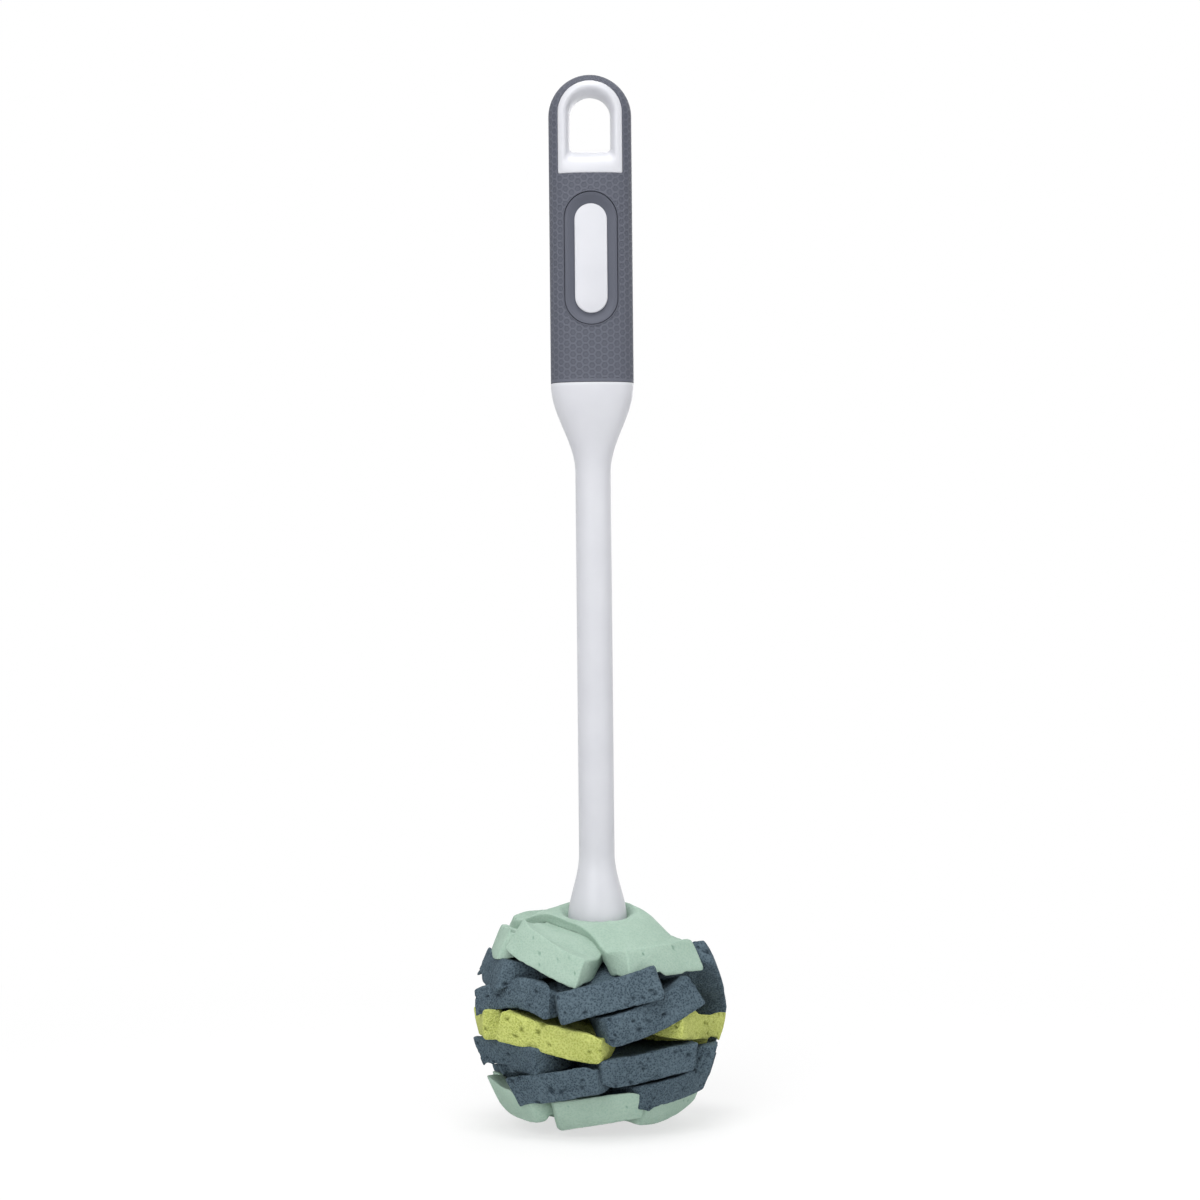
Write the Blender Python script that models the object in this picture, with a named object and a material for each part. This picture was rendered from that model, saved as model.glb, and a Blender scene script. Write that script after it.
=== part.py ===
"""Hanging dish brush: a two-shot handle and a ball of crossed foam strips held by a pin.

The brush hangs along +Z with its face towards -Y. The origin is the crown of the hanging
hole, where a hook bears. All sizes are in metres.
"""
import math

import bmesh
import bpy
from mathutils import Vector
from mathutils.geometry import delaunay_2d_cdt

# Fits
CLEARANCE = 0.0003
OVERRUN = 0.004

# Soft grip: an oval bar whose top is a half circle in front view
GRIP_WIDTH = 0.0280
GRIP_DEPTH = 0.0180
GRIP_LENGTH = 0.1038
GRIP_SECTION_POWER = 2.7
GRIP_TOP_POWER = 3.2
GRIP_POINTS = 36
GRIP_TOP_STEPS = 7

# Hanging hole, an arch through the loop, and the white liner round it
HOLE_WIDTH = 0.0137
HOLE_HEIGHT = 0.0192
HOLE_CORNER_RADIUS = 0.0014
LOOP_OVER_HOLE = 0.0073
LINER_SIDE_WALL = 0.0040
LINER_TOP_WALL = 0.0053
LINER_SILL_WALL = 0.0065
LINER_INSET = 0.0002
THROAT_DEPTH = 0.0040
FUNNEL_SIDE = 0.0024
FUNNEL_SILL = 0.0050
ARCH_STEPS = 14
CORNER_STEPS = 3

# Window pad of the white core, with a smooth sunk border in the grip round it
WINDOW_WIDTH = 0.0109
WINDOW_LENGTH = 0.0373
WINDOW_TO_HOLE_SILL = 0.0168
WINDOW_DEPTH = 0.0168
BORDER_SIDE = 0.0036
BORDER_END = 0.0041
BORDER_SINK = 0.0004
STADIUM_STEPS = 10

# Bar of the white core that the grip is moulded over
BAR_WIDTH = 0.0190
BAR_DEPTH = 0.0096
BAR_CORNER_RADIUS = 0.0030
BAR_ROOT = 0.0030

# Flare under the grip, round shaft and skirt
FLARE_LENGTH = 0.0300
FLARE_STEPS = 9
SHAFT_DIAMETER = 0.0120
SHAFT_LENGTH = 0.1300
SKIRT_LENGTH = 0.0227
SKIRT_DIAMETER = 0.0200
SKIRT_SHARES = ((0.0, 0.0), (0.25, 0.20), (0.64, 0.58), (0.86, 0.94), (1.0, 1.0))

# Pin through the foam: a head under it and a snap bead in the skirt's socket
PIN_DIAMETER = 0.0080
PIN_HEAD_DIAMETER = 0.0196
PIN_HEAD_THICKNESS = 0.0030
PIN_HEAD_EDGE = 0.0010
PIN_TIP_CHAMFER = 0.0012
PIN_GRIP_LENGTH = 0.0160
BEAD_HEIGHT = 0.0005
BEAD_LENGTH = 0.0024
BEAD_FROM_MOUTH = 0.0090
PIN_STEPS = 20

# Foam strips: one die cuts them all, and the pin goes through the middle of each
STRIP_LENGTH = 0.0800
STRIP_WIDTH = 0.0370
STRIP_THICKNESS = 0.0100
STRIP_GAP = 0.0004
DIE_SNAP = 0.0002

# Foam stack: clamped flat at the pin, swelling round the skirt and the pin's head, and
# drawn in towards its top and bottom as the outer strips bend
CORE_HEIGHT = 0.0604
SWELL_RADIUS = 0.0136
SWELL_HEIGHT = 0.0744
RIM_HEIGHT = 0.0585
DRAW_IN_SHARE = 0.36

# Room a strip takes: all of it this far inside its edge, then less and less to its least
# share over the run
CLAIM_FULL_INSIDE = 0.0080
CLAIM_RUN = 0.0240
EMPTY_SHARE = 0.04

# Shared sheet that all strips are cut from: the spacing of its points and how far round a
# point other strips count as its neighbours
SHEET_PITCH = 0.0083
SHEET_REACH = 0.0124
SHEET_LEAST_POINTS = 13

# Strips from the bottom of the stack to its top: foam, turn about the pin in degrees from
# the front towards +X, and share of the room next to the others
STACK_SHARES = (
    ("mint", 55.0, 1.20), ("mint", 0.0, 1.20), ("mint", -55.0, 1.10),
    ("slate", 50.0, 1.05), ("slate", -20.0, 1.15), ("slate", -80.0, 1.15),
    ("slate", 83.0, 1.20), ("slate", 23.0, 1.20), ("slate", -46.0, 1.20),
    ("lime", -75.0, 1.40), ("lime", -21.0, 1.40), ("lime", 57.0, 1.40),
    ("slate", 85.0, 1.20), ("slate", 27.0, 1.20), ("slate", -43.0, 1.20),
    ("slate", 64.0, 1.15), ("slate", 5.0, 1.15), ("slate", -65.0, 1.05),
    ("mint", -85.0, 1.10), ("mint", -30.0, 1.20), ("mint", 40.0, 1.20),
)

# Heights along the brush, worked out from the sizes above
GRIP_TOP_Z = LOOP_OVER_HOLE
GRIP_BOTTOM_Z = GRIP_TOP_Z - GRIP_LENGTH
HOLE_SILL_Z = -HOLE_HEIGHT
LINER_TOP_Z = LINER_TOP_WALL
LINER_BOTTOM_Z = HOLE_SILL_Z - LINER_SILL_WALL
WINDOW_TOP_Z = HOLE_SILL_Z - WINDOW_TO_HOLE_SILL
WINDOW_BOTTOM_Z = WINDOW_TOP_Z - WINDOW_LENGTH
FLARE_TOP_Z = GRIP_BOTTOM_Z - CLEARANCE
SHAFT_TOP_Z = FLARE_TOP_Z - FLARE_LENGTH
SKIRT_TOP_Z = SHAFT_TOP_Z - SHAFT_LENGTH
SKIRT_BOTTOM_Z = SKIRT_TOP_Z - SKIRT_LENGTH
CORNER_RADIUS = math.hypot(STRIP_LENGTH / 2.0, STRIP_WIDTH / 2.0)
HEAD_CENTRE_Z = SKIRT_BOTTOM_Z - CLEARANCE - CORE_HEIGHT / 2.0
PIN_HEAD_TOP_Z = HEAD_CENTRE_Z - CORE_HEIGHT / 2.0 - CLEARANCE


def clear_scene():
    """Remove every object that the file starts with."""
    for old in list(bpy.data.objects):
        bpy.data.objects.remove(old, do_unlink=True)


def make_material(name, colour, roughness):
    """A plain Principled material with the piece's colour and gloss."""
    material = bpy.data.materials.new(name)
    material.use_nodes = True
    shader = material.node_tree.nodes["Principled BSDF"]
    shader.inputs["Base Color"].default_value = (*colour, 1.0)
    shader.inputs["Roughness"].default_value = roughness
    shader.inputs["Metallic"].default_value = 0.0
    return material


def place_object(name, bm, material=None, smooth=True):
    """Turn a finished bmesh into a named object."""
    mesh = bpy.data.meshes.new(name)
    bm.to_mesh(mesh)
    bm.free()
    if smooth:
        mesh.shade_smooth()
        mesh.set_sharp_from_angle(angle=math.radians(40.0))
    piece = bpy.data.objects.new(name, mesh)
    bpy.context.scene.collection.objects.link(piece)
    if material is not None:
        mesh.materials.append(material)
    return piece


def place_tool(name, bm):
    """A body that only shapes another one."""
    tool = place_object(name, bm, smooth=False)
    tool.hide_render = True
    tool.display_type = "WIRE"
    return tool


def combine(piece, tool, operation):
    """Join, cut or trim a piece with a tool body."""
    step = piece.modifiers.new(f"{operation.lower()} {tool.name}", "BOOLEAN")
    step.operation = operation
    step.solver = "EXACT"
    step.object = tool


def closed_bands(loops):
    """A closed body from a row of point loops, with a flat face on each end."""
    bm = bmesh.new()
    rows = []
    for loop in loops:
        corners = [bm.verts.new(point) for point in loop]
        rows.append(bm.faces.new(corners))
    for before, after in zip(rows, rows[1:]):
        bmesh.ops.bridge_loops(bm, edges=list(before.edges) + list(after.edges))
    for inner in rows[1:-1]:
        bm.faces.remove(inner)
    bmesh.ops.recalc_face_normals(bm, faces=bm.faces)
    return bm


def oval_loop(z, half_width, half_depth, power, count=GRIP_POINTS):
    """Points round a rounded oval at one height. A power of 2 is an ellipse."""
    loop = []
    for step in range(count):
        angle = math.tau * step / count
        across, deep = math.cos(angle), math.sin(angle)
        x = math.copysign(abs(across) ** (2.0 / power), across) * half_width
        y = math.copysign(abs(deep) ** (2.0 / power), deep) * half_depth
        loop.append(Vector((x, y, z)))
    return loop


def arch_outline(half_width, crown_z, sill_z, corner):
    """An arch seen from the front: half-round crown, straight sides, flat sill."""
    centre_z = crown_z - half_width
    outline = []
    for step in range(ARCH_STEPS + 1):
        angle = math.pi * step / ARCH_STEPS
        outline.append((half_width * math.cos(angle), centre_z + half_width * math.sin(angle)))
    for side, start in ((-1.0, math.pi), (1.0, 1.5 * math.pi)):
        for step in range(CORNER_STEPS + 1):
            angle = start + 0.5 * math.pi * step / CORNER_STEPS
            x = side * (half_width - corner) + corner * math.cos(angle)
            outline.append((x, sill_z + corner + corner * math.sin(angle)))
    return outline


def stadium_outline(half_width, top_z, bottom_z):
    """A slot shape seen from the front, with a half circle at each end."""
    outline = []
    for centre_z, start in ((top_z - half_width, 0.0), (bottom_z + half_width, math.pi)):
        for step in range(STADIUM_STEPS + 1):
            angle = start + math.pi * step / STADIUM_STEPS
            outline.append((half_width * math.cos(angle), centre_z + half_width * math.sin(angle)))
    return outline


def through_body(stations):
    """A body along Y from outlines seen from the front, each with its own y."""
    return closed_bands([[Vector((x, y, z)) for x, z in outline] for y, outline in stations])


def grip_body(inset):
    """The grip's outer form, drawn in all round by an inset."""
    half_width = GRIP_WIDTH / 2.0 - inset
    half_depth = GRIP_DEPTH / 2.0 - inset
    shoulder_z = GRIP_TOP_Z - GRIP_WIDTH / 2.0
    loops = [oval_loop(GRIP_BOTTOM_Z, half_width, half_depth, GRIP_SECTION_POWER)]
    for step in range(GRIP_TOP_STEPS + 1):
        rise = 0.5 * math.pi * step / (GRIP_TOP_STEPS + 0.5)
        depth_share = (1.0 - math.sin(rise) ** GRIP_TOP_POWER) ** (1.0 / GRIP_TOP_POWER)
        z = shoulder_z + half_width * math.sin(rise)
        width = half_width * math.cos(rise)
        loops.append(oval_loop(z, width, half_depth * depth_share, GRIP_SECTION_POWER))
    return closed_bands(loops)


def liner_outline(grow):
    """Outside of the white liner round the hanging hole."""
    half_width = HOLE_WIDTH / 2.0 + LINER_SIDE_WALL + grow
    return arch_outline(half_width, LINER_TOP_Z + grow, LINER_BOTTOM_Z - grow,
                        HOLE_CORNER_RADIUS)


def liner_body(grow, half_depth):
    """The liner as a straight block through the loop."""
    outline = liner_outline(grow)
    return through_body(((-half_depth, outline), (half_depth, outline)))


def window_body(grow, half_depth):
    """The window pad as a straight block through the grip."""
    outline = stadium_outline(WINDOW_WIDTH / 2.0 + grow, WINDOW_TOP_Z + grow,
                              WINDOW_BOTTOM_Z - grow)
    return through_body(((-half_depth, outline), (half_depth, outline)))


def border_body():
    """The slot shape of the smooth border round the window."""
    half_width = WINDOW_WIDTH / 2.0 + BORDER_SIDE
    outline = stadium_outline(half_width, WINDOW_TOP_Z + BORDER_END,
                              WINDOW_BOTTOM_Z - BORDER_END)
    half_depth = GRIP_DEPTH / 2.0 + OVERRUN
    return through_body(((-half_depth, outline), (half_depth, outline)))


def bar_body(grow, bottom_z):
    """The round-cornered bar that runs up inside the grip to the liner."""
    half_width = BAR_WIDTH / 2.0 + grow
    half_depth = BAR_DEPTH / 2.0 + grow
    corner = BAR_CORNER_RADIUS + grow
    section = []
    quarters = ((1.0, 1.0), (-1.0, 1.0), (-1.0, -1.0), (1.0, -1.0))
    for quarter, (side, face) in enumerate(quarters):
        for step in range(CORNER_STEPS + 1):
            angle = 0.5 * math.pi * (quarter + step / CORNER_STEPS)
            x = side * (half_width - corner) + corner * math.cos(angle)
            y = face * (half_depth - corner) + corner * math.sin(angle)
            section.append((x, y))
    top_z = HOLE_SILL_Z - LINER_SILL_WALL / 2.0
    return closed_bands([[Vector((x, y, z)) for x, y in section] for z in (bottom_z, top_z)])


def hole_body():
    """The hanging hole: a straight throat that funnels open towards both faces."""
    half_width = HOLE_WIDTH / 2.0
    throat = arch_outline(half_width, 0.0, HOLE_SILL_Z, HOLE_CORNER_RADIUS)
    run = (GRIP_DEPTH / 2.0 + OVERRUN) - THROAT_DEPTH / 2.0
    growth = run / (GRIP_DEPTH / 2.0 - THROAT_DEPTH / 2.0)
    side, sill = FUNNEL_SIDE * growth, FUNNEL_SILL * growth
    mouth = arch_outline(half_width + side, side, HOLE_SILL_Z - sill,
                         HOLE_CORNER_RADIUS + side)
    face = GRIP_DEPTH / 2.0 + OVERRUN
    return through_body(((-face, mouth), (-THROAT_DEPTH / 2.0, throat),
                         (THROAT_DEPTH / 2.0, throat), (face, mouth)))


def stem_body():
    """Flare, shaft and skirt in one: from the grip's oval to a round shaft and skirt."""
    shaft = SHAFT_DIAMETER / 2.0
    loops = []
    for step in range(FLARE_STEPS + 1):
        along = step / FLARE_STEPS
        oval = 0.5 * (1.0 + math.cos(math.pi * along))
        half_width = shaft + (GRIP_WIDTH / 2.0 - shaft) * oval
        half_depth = shaft + (GRIP_DEPTH / 2.0 - shaft) * oval
        power = 2.0 + (GRIP_SECTION_POWER - 2.0) * oval
        loops.append(oval_loop(FLARE_TOP_Z - FLARE_LENGTH * along, half_width, half_depth, power))
    for down_share, out_share in SKIRT_SHARES:
        radius = shaft + (SKIRT_DIAMETER / 2.0 - shaft) * out_share
        loops.append(oval_loop(SKIRT_TOP_Z - SKIRT_LENGTH * down_share, radius, radius, 2.0))
    return closed_bands(loops)


def pin_profile(grow, tail):
    """Half section of the pin's shank above the foam: radius and height."""
    shank = PIN_DIAMETER / 2.0 + grow
    tip_z = SKIRT_BOTTOM_Z + PIN_GRIP_LENGTH + grow
    bead_z = SKIRT_BOTTOM_Z + BEAD_FROM_MOUTH
    return (
        (shank, tail),
        (shank, bead_z - BEAD_LENGTH / 2.0),
        (shank + BEAD_HEIGHT, bead_z),
        (shank, bead_z + BEAD_LENGTH / 2.0),
        (shank, tip_z - PIN_TIP_CHAMFER),
        (shank - PIN_TIP_CHAMFER, tip_z),
    )


def turned_body(profile):
    """A closed round body about the brush's axis from its half section."""
    bm = bmesh.new()
    points = [(0.0, profile[0][1]), *profile, (0.0, profile[-1][1])]
    corners = [bm.verts.new((radius, 0.0, z)) for radius, z in points]
    edges = [bm.edges.new(pair) for pair in zip(corners, corners[1:])]
    bmesh.ops.spin(bm, geom=corners + edges, axis=(0.0, 0.0, 1.0), cent=(0.0, 0.0, 0.0),
                   steps=PIN_STEPS, angle=math.tau, use_merge=True)
    bmesh.ops.remove_doubles(bm, verts=bm.verts, dist=DIE_SNAP / 10.0)
    bmesh.ops.recalc_face_normals(bm, faces=bm.faces)
    return bm


def build_handle_core(material):
    """White core: liner, bar, window pad, flare, shaft and skirt in one moulding."""
    core = place_object("handle_core", stem_body(), material)
    liner = place_tool("liner_block", liner_body(0.0, GRIP_DEPTH))
    combine(liner, place_tool("liner_skin", grip_body(LINER_INSET)), "INTERSECT")
    combine(core, place_tool("bar_block", bar_body(0.0, FLARE_TOP_Z - BAR_ROOT)), "UNION")
    combine(core, liner, "UNION")
    combine(core, place_tool("window_block", window_body(0.0, WINDOW_DEPTH / 2.0)), "UNION")
    combine(core, place_tool("hole_cut", hole_body()), "DIFFERENCE")
    socket = turned_body(pin_profile(CLEARANCE, SKIRT_BOTTOM_Z - OVERRUN))
    combine(core, place_tool("socket_cut", socket), "DIFFERENCE")
    return core


def build_grip_sleeve(material):
    """Grey grip moulded over the core, open at the loop and at both windows."""
    sleeve = place_object("grip_sleeve", grip_body(0.0), material)
    through = GRIP_DEPTH / 2.0 + OVERRUN
    border = place_tool("border_cut", border_body())
    combine(border, place_tool("border_skin", grip_body(BORDER_SINK)), "DIFFERENCE")
    bar = place_tool("bar_cut", bar_body(CLEARANCE, GRIP_BOTTOM_Z - OVERRUN))
    combine(sleeve, bar, "DIFFERENCE")
    combine(sleeve, place_tool("liner_cut", liner_body(CLEARANCE, through)), "DIFFERENCE")
    combine(sleeve, place_tool("window_cut", window_body(CLEARANCE, through)), "DIFFERENCE")
    combine(sleeve, border, "DIFFERENCE")
    return sleeve


def build_retaining_pin(material):
    """White pin: a domed head under the foam and a shank up into the skirt."""
    head = PIN_HEAD_DIAMETER / 2.0
    bottom_z = PIN_HEAD_TOP_Z - PIN_HEAD_THICKNESS
    profile = (
        (head - PIN_HEAD_EDGE, bottom_z),
        (head, bottom_z + PIN_HEAD_EDGE),
        (head, PIN_HEAD_TOP_Z),
        *pin_profile(0.0, PIN_HEAD_TOP_Z),
    )
    return place_object("retaining_pin", turned_body(profile), material)


def stack_height(radius):
    """Whole height of the foam stack at a radius from the pin."""
    clamp_radius = SKIRT_DIAMETER / 2.0 + 2.0 * CLEARANCE
    if radius <= SWELL_RADIUS:
        rise = max(0.0, (radius - clamp_radius) / (SWELL_RADIUS - clamp_radius))
        return CORE_HEIGHT + (SWELL_HEIGHT - CORE_HEIGHT) * rise
    out = (radius - SWELL_RADIUS) / (CORNER_RADIUS - SWELL_RADIUS)
    return SWELL_HEIGHT + (RIM_HEIGHT - SWELL_HEIGHT) * out


def strip_frame(turn):
    """Unit vectors along and across a strip turned about the pin."""
    angle = math.radians(turn)
    along = Vector((math.sin(angle), -math.cos(angle)))
    return along, Vector((-along.y, along.x))


def outside_strip(point, turn):
    """How far a point of the plan is outside a strip; below zero on the strip."""
    along, across = strip_frame(turn)
    return max(abs(point.dot(along)) - STRIP_LENGTH / 2.0,
               abs(point.dot(across)) - STRIP_WIDTH / 2.0)


def claim(point, turn, room_share):
    """Share of the stack's height that a strip takes at a point of the plan."""
    away = (outside_strip(point, turn) + CLAIM_FULL_INSIDE) / CLAIM_RUN
    eased = 0.5 * (1.0 + math.cos(math.pi * min(1.0, max(0.0, away))))
    return room_share * (EMPTY_SHARE + (1.0 - EMPTY_SHARE) * eased)


def stack_heights(point):
    """Low and high side of every strip at a point of the plan, in stack order."""
    half_stack = stack_height(point.length) / 2.0
    claims = [claim(point, turn, room_share) for foam, turn, room_share in STACK_SHARES]
    middles = [half_stack * ((2.0 * sum(claims[:place]) + room) / sum(claims) - 1.0)
               for place, room in enumerate(claims)]
    near = [place for place, (foam, turn, room_share) in enumerate(STACK_SHARES)
            if outside_strip(point, turn) < SHEET_REACH]
    sides = []
    for place, middle in enumerate(middles):
        low = max(-half_stack, middle - STRIP_THICKNESS / 2.0)
        high = min(half_stack, middle + STRIP_THICKNESS / 2.0)
        for other in near:
            between = (middle + middles[other]) / 2.0
            if other < place:
                low = max(low, between + STRIP_GAP / 2.0)
            elif other > place:
                high = min(high, between - STRIP_GAP / 2.0)
        sides.append((low, high))
    return sides


def sheet_points():
    """Plan points of the sheet on rings round the pin's hole."""
    hole = PIN_DIAMETER / 2.0 + 2.0 * CLEARANCE
    clamp = SKIRT_DIAMETER / 2.0 + 2.0 * CLEARANCE
    rim = CORNER_RADIUS + 3.0 * DIE_SNAP
    steps = max(1, round((rim - SWELL_RADIUS) / SHEET_PITCH))
    outer = [SWELL_RADIUS + (rim - SWELL_RADIUS) * step / steps for step in range(1, steps + 1)]
    points = []
    for radius in (hole, clamp, SWELL_RADIUS, *outer):
        count = max(SHEET_LEAST_POINTS, round(math.tau * radius / SHEET_PITCH))
        for step in range(count):
            angle = math.tau * step / count
            points.append(Vector((radius * math.cos(angle), radius * math.sin(angle))))
    return points


def drawn_in(plan, height):
    """Place in the head of a plan point at a height: high and low ones move inwards."""
    height_share = abs(height) / (SWELL_HEIGHT / 2.0)
    out_share = plan.length / CORNER_RADIUS
    pull = DRAW_IN_SHARE * (height_share * out_share) ** 2.0
    return Vector((plan.x * (1.0 - pull), plan.y * (1.0 - pull), HEAD_CENTRE_Z + height))


def shared_sheet():
    """Flat triangle sheet that keeps both sides of every strip at its points."""
    points = sheet_points()
    tolerance = DIE_SNAP / 100.0
    corners, edges, triangles, *rest = delaunay_2d_cdt(points, [], [], 0, tolerance)
    hole = PIN_DIAMETER / 2.0 + 2.0 * CLEARANCE
    bm = bmesh.new()
    for place in range(len(STACK_SHARES)):
        bm.verts.layers.float_vector.new(f"low_{place}")
        bm.verts.layers.float_vector.new(f"high_{place}")
    made = []
    for corner in corners:
        vert = bm.verts.new((corner.x, corner.y, 0.0))
        for place, (low, high) in enumerate(stack_heights(corner)):
            vert[bm.verts.layers.float_vector[f"low_{place}"]] = drawn_in(corner, low)
            vert[bm.verts.layers.float_vector[f"high_{place}"]] = drawn_in(corner, high)
        made.append(vert)
    for triangle in triangles:
        middle = sum((corners[index] for index in triangle), Vector((0.0, 0.0))) / len(triangle)
        if middle.length > hole:
            bm.faces.new([made[index] for index in triangle])
    return bm


def cut_to_strip(bm, turn):
    """Cut the sheet with the four sides of the die."""
    along, across = strip_frame(turn)
    for direction, half in ((along, STRIP_LENGTH / 2.0), (across, STRIP_WIDTH / 2.0)):
        for side in (1.0, -1.0):
            normal = Vector((direction.x, direction.y, 0.0)) * side
            bmesh.ops.bisect_plane(bm, geom=bm.verts[:] + bm.edges[:] + bm.faces[:],
                                   dist=DIE_SNAP, plane_co=normal * half, plane_no=normal,
                                   clear_outer=True)


def build_strip(name, place, turn, sheet, material):
    """One foam strip: cut from the sheet, then both its sides put where they lie."""
    bm = sheet.copy()
    cut_to_strip(bm, turn)
    low_layer = bm.verts.layers.float_vector[f"low_{place}"]
    high_layer = bm.verts.layers.float_vector[f"high_{place}"]
    raised = bmesh.ops.extrude_face_region(bm, geom=bm.faces[:])["geom"]
    upper = {item for item in raised if isinstance(item, bmesh.types.BMVert)}
    for vert in bm.verts:
        vert.co = vert[high_layer] if vert in upper else vert[low_layer]
    bmesh.ops.triangulate(bm, faces=bm.faces)
    bmesh.ops.recalc_face_normals(bm, faces=bm.faces)
    return place_object(name, bm, material)


def build_foam(materials):
    """All strips of the head, numbered from the top for each foam."""
    sheet = shared_sheet()
    numbers = {foam: 0 for foam in materials}
    for place in reversed(range(len(STACK_SHARES))):
        foam, turn, room_share = STACK_SHARES[place]
        numbers[foam] += 1
        build_strip(f"{foam}_foam_{numbers[foam]}", place, turn, sheet, materials[foam])
    sheet.free()


def main():
    """Build the brush."""
    clear_scene()
    white = make_material("white polypropylene", (0.62, 0.64, 0.68), 0.35)
    grey = make_material("grey soft rubber", (0.13, 0.14, 0.18), 0.60)
    build_handle_core(white)
    build_grip_sleeve(grey)
    build_retaining_pin(white)
    build_foam({
        "mint": make_material("fine mint foam", (0.43, 0.60, 0.50), 0.95),
        "slate": make_material("coarse slate foam", (0.10, 0.14, 0.18), 0.95),
        "lime": make_material("coarse lime foam", (0.55, 0.60, 0.16), 0.95),
    })


main()
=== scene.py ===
"""Looks of a hanging dish brush with a head of crossed foam strips.

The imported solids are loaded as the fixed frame, and every visible piece is modelled at the
same place with the detail of the real one: a white moulded core with a funnelled hanging
hole, a soft grip with a honeycomb relief, a retaining pin and 21 die-cut foam strips.
All lengths are in metres, written as millimetres times MM.
"""
import bisect
import logging
import math
import random
from collections.abc import Iterable, Sequence
from dataclasses import dataclass, field
from enum import Enum

import bmesh
import bpy
import numpy as np
from mathutils import Matrix, Vector, noise

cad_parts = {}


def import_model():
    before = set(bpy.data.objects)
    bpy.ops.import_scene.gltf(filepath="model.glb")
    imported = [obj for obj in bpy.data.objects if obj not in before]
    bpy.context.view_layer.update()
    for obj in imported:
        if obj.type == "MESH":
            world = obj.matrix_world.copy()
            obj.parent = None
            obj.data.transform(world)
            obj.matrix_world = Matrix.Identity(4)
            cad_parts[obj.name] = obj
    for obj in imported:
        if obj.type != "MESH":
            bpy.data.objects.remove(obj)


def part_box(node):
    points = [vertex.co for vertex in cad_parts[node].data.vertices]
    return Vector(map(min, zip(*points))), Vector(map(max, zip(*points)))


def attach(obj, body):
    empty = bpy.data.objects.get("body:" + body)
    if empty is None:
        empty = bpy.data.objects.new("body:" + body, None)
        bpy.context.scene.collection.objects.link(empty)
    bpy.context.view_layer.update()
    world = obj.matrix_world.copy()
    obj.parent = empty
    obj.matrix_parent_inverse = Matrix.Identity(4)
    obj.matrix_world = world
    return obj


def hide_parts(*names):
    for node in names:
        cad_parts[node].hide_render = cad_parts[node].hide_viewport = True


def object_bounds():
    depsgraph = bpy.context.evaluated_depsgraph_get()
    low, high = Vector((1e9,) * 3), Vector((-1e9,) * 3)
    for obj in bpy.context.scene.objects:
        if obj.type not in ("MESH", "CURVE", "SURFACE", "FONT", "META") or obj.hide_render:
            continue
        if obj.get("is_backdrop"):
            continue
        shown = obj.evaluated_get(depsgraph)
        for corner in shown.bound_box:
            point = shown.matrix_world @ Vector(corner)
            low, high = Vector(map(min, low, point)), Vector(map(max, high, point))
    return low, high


MM = 0.001
LOG = logging.getLogger("dish_brush")
BODY = "root"

# Corners closer than this are one corner
WELD = 0.001 * MM
TINY = 1e-9

# Places that the photograph gives, or that the pieces leave to each other
LOOP_TOP_Z = 6.9 * MM
GRIP_HEM = 0.5 * MM
GRIP_GAP = 0.1 * MM
SKIRT_CLEARANCE = 0.3 * MM
HALF_STACK = 30.2 * MM
PICTURE_DROP = 177.4 * MM


class Foam(Enum):
    """Foams that the strips are cut from."""

    MINT = "mint"
    SLATE = "slate"
    LIME = "lime"


def linear(hex_colour: str) -> tuple[float, float, float, float]:
    """Turn an sRGB hex colour into linear red, green, blue and alpha.

    Args:
        hex_colour: Colour as "#RRGGBB".

    Returns:
        The linear colour with an alpha of 1.
    """
    shares = [int(hex_colour[start:start + 2], 16) / 255.0 for start in (1, 3, 5)]
    red, green, blue = (share / 12.92 if share <= 0.04045 else ((share + 0.055) / 1.055) ** 2.4
                        for share in shares)
    return red, green, blue, 1.0


def eased(share: float) -> float:
    """A share from 0 to 1 with soft ends."""
    return 0.5 - 0.5 * math.cos(math.pi * min(1.0, max(0.0, share)))


def add_node(tree: bpy.types.NodeTree, kind: str, inputs: dict | None = None,
             **settings: object) -> bpy.types.Node:
    """Add a node with its settings, and set or link its inputs.

    Args:
        tree: Node tree that takes the node.
        kind: Type of the node.
        inputs: Socket name or number to a value, or to the output socket that feeds it.
        settings: Properties of the node itself.

    Returns:
        The new node.
    """
    node = tree.nodes.new(kind)
    for name, value in settings.items():
        setattr(node, name, value)
    for socket, value in (inputs or {}).items():
        if isinstance(value, bpy.types.NodeSocket):
            tree.links.new(value, node.inputs[socket])
        else:
            node.inputs[socket].default_value = value
    return node


def fresh_material(name: str) -> tuple[bpy.types.Material, bpy.types.NodeTree,
                                       bpy.types.NodeSocket]:
    """Make a node material that knows each point's place on the object.

    Args:
        name: Name of the finish.

    Returns:
        The material, its node tree and the socket with the object's coordinates.
    """
    material = bpy.data.materials.new(name)
    material.use_nodes = True
    tree = material.node_tree
    tree.nodes.clear()
    return material, tree, add_node(tree, "ShaderNodeTexCoord").outputs["Object"]


def close_material(tree: bpy.types.NodeTree, shader: bpy.types.NodeSocket) -> None:
    """Link a shader to the material's output.

    Args:
        tree: Tree of the material.
        shader: Output socket of the last shader.
    """
    add_node(tree, "ShaderNodeOutputMaterial", {"Surface": shader})


def speckle(tree: bpy.types.NodeTree, place: bpy.types.NodeSocket, size: float,
            detail: float, roughness: float = 0.5) -> bpy.types.NodeSocket:
    """Add soft noise.

    Args:
        tree: Tree of the material.
        place: Coordinates.
        size: Size of its largest patches.
        detail: How many finer layers it has.
        roughness: How strong the finer layers are.

    Returns:
        The noise, from 0 to 1.
    """
    return add_node(tree, "ShaderNodeTexNoise",
                    {"Vector": place, "Scale": 1.0 / size, "Detail": detail,
                     "Roughness": roughness}).outputs["Fac"]


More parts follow.
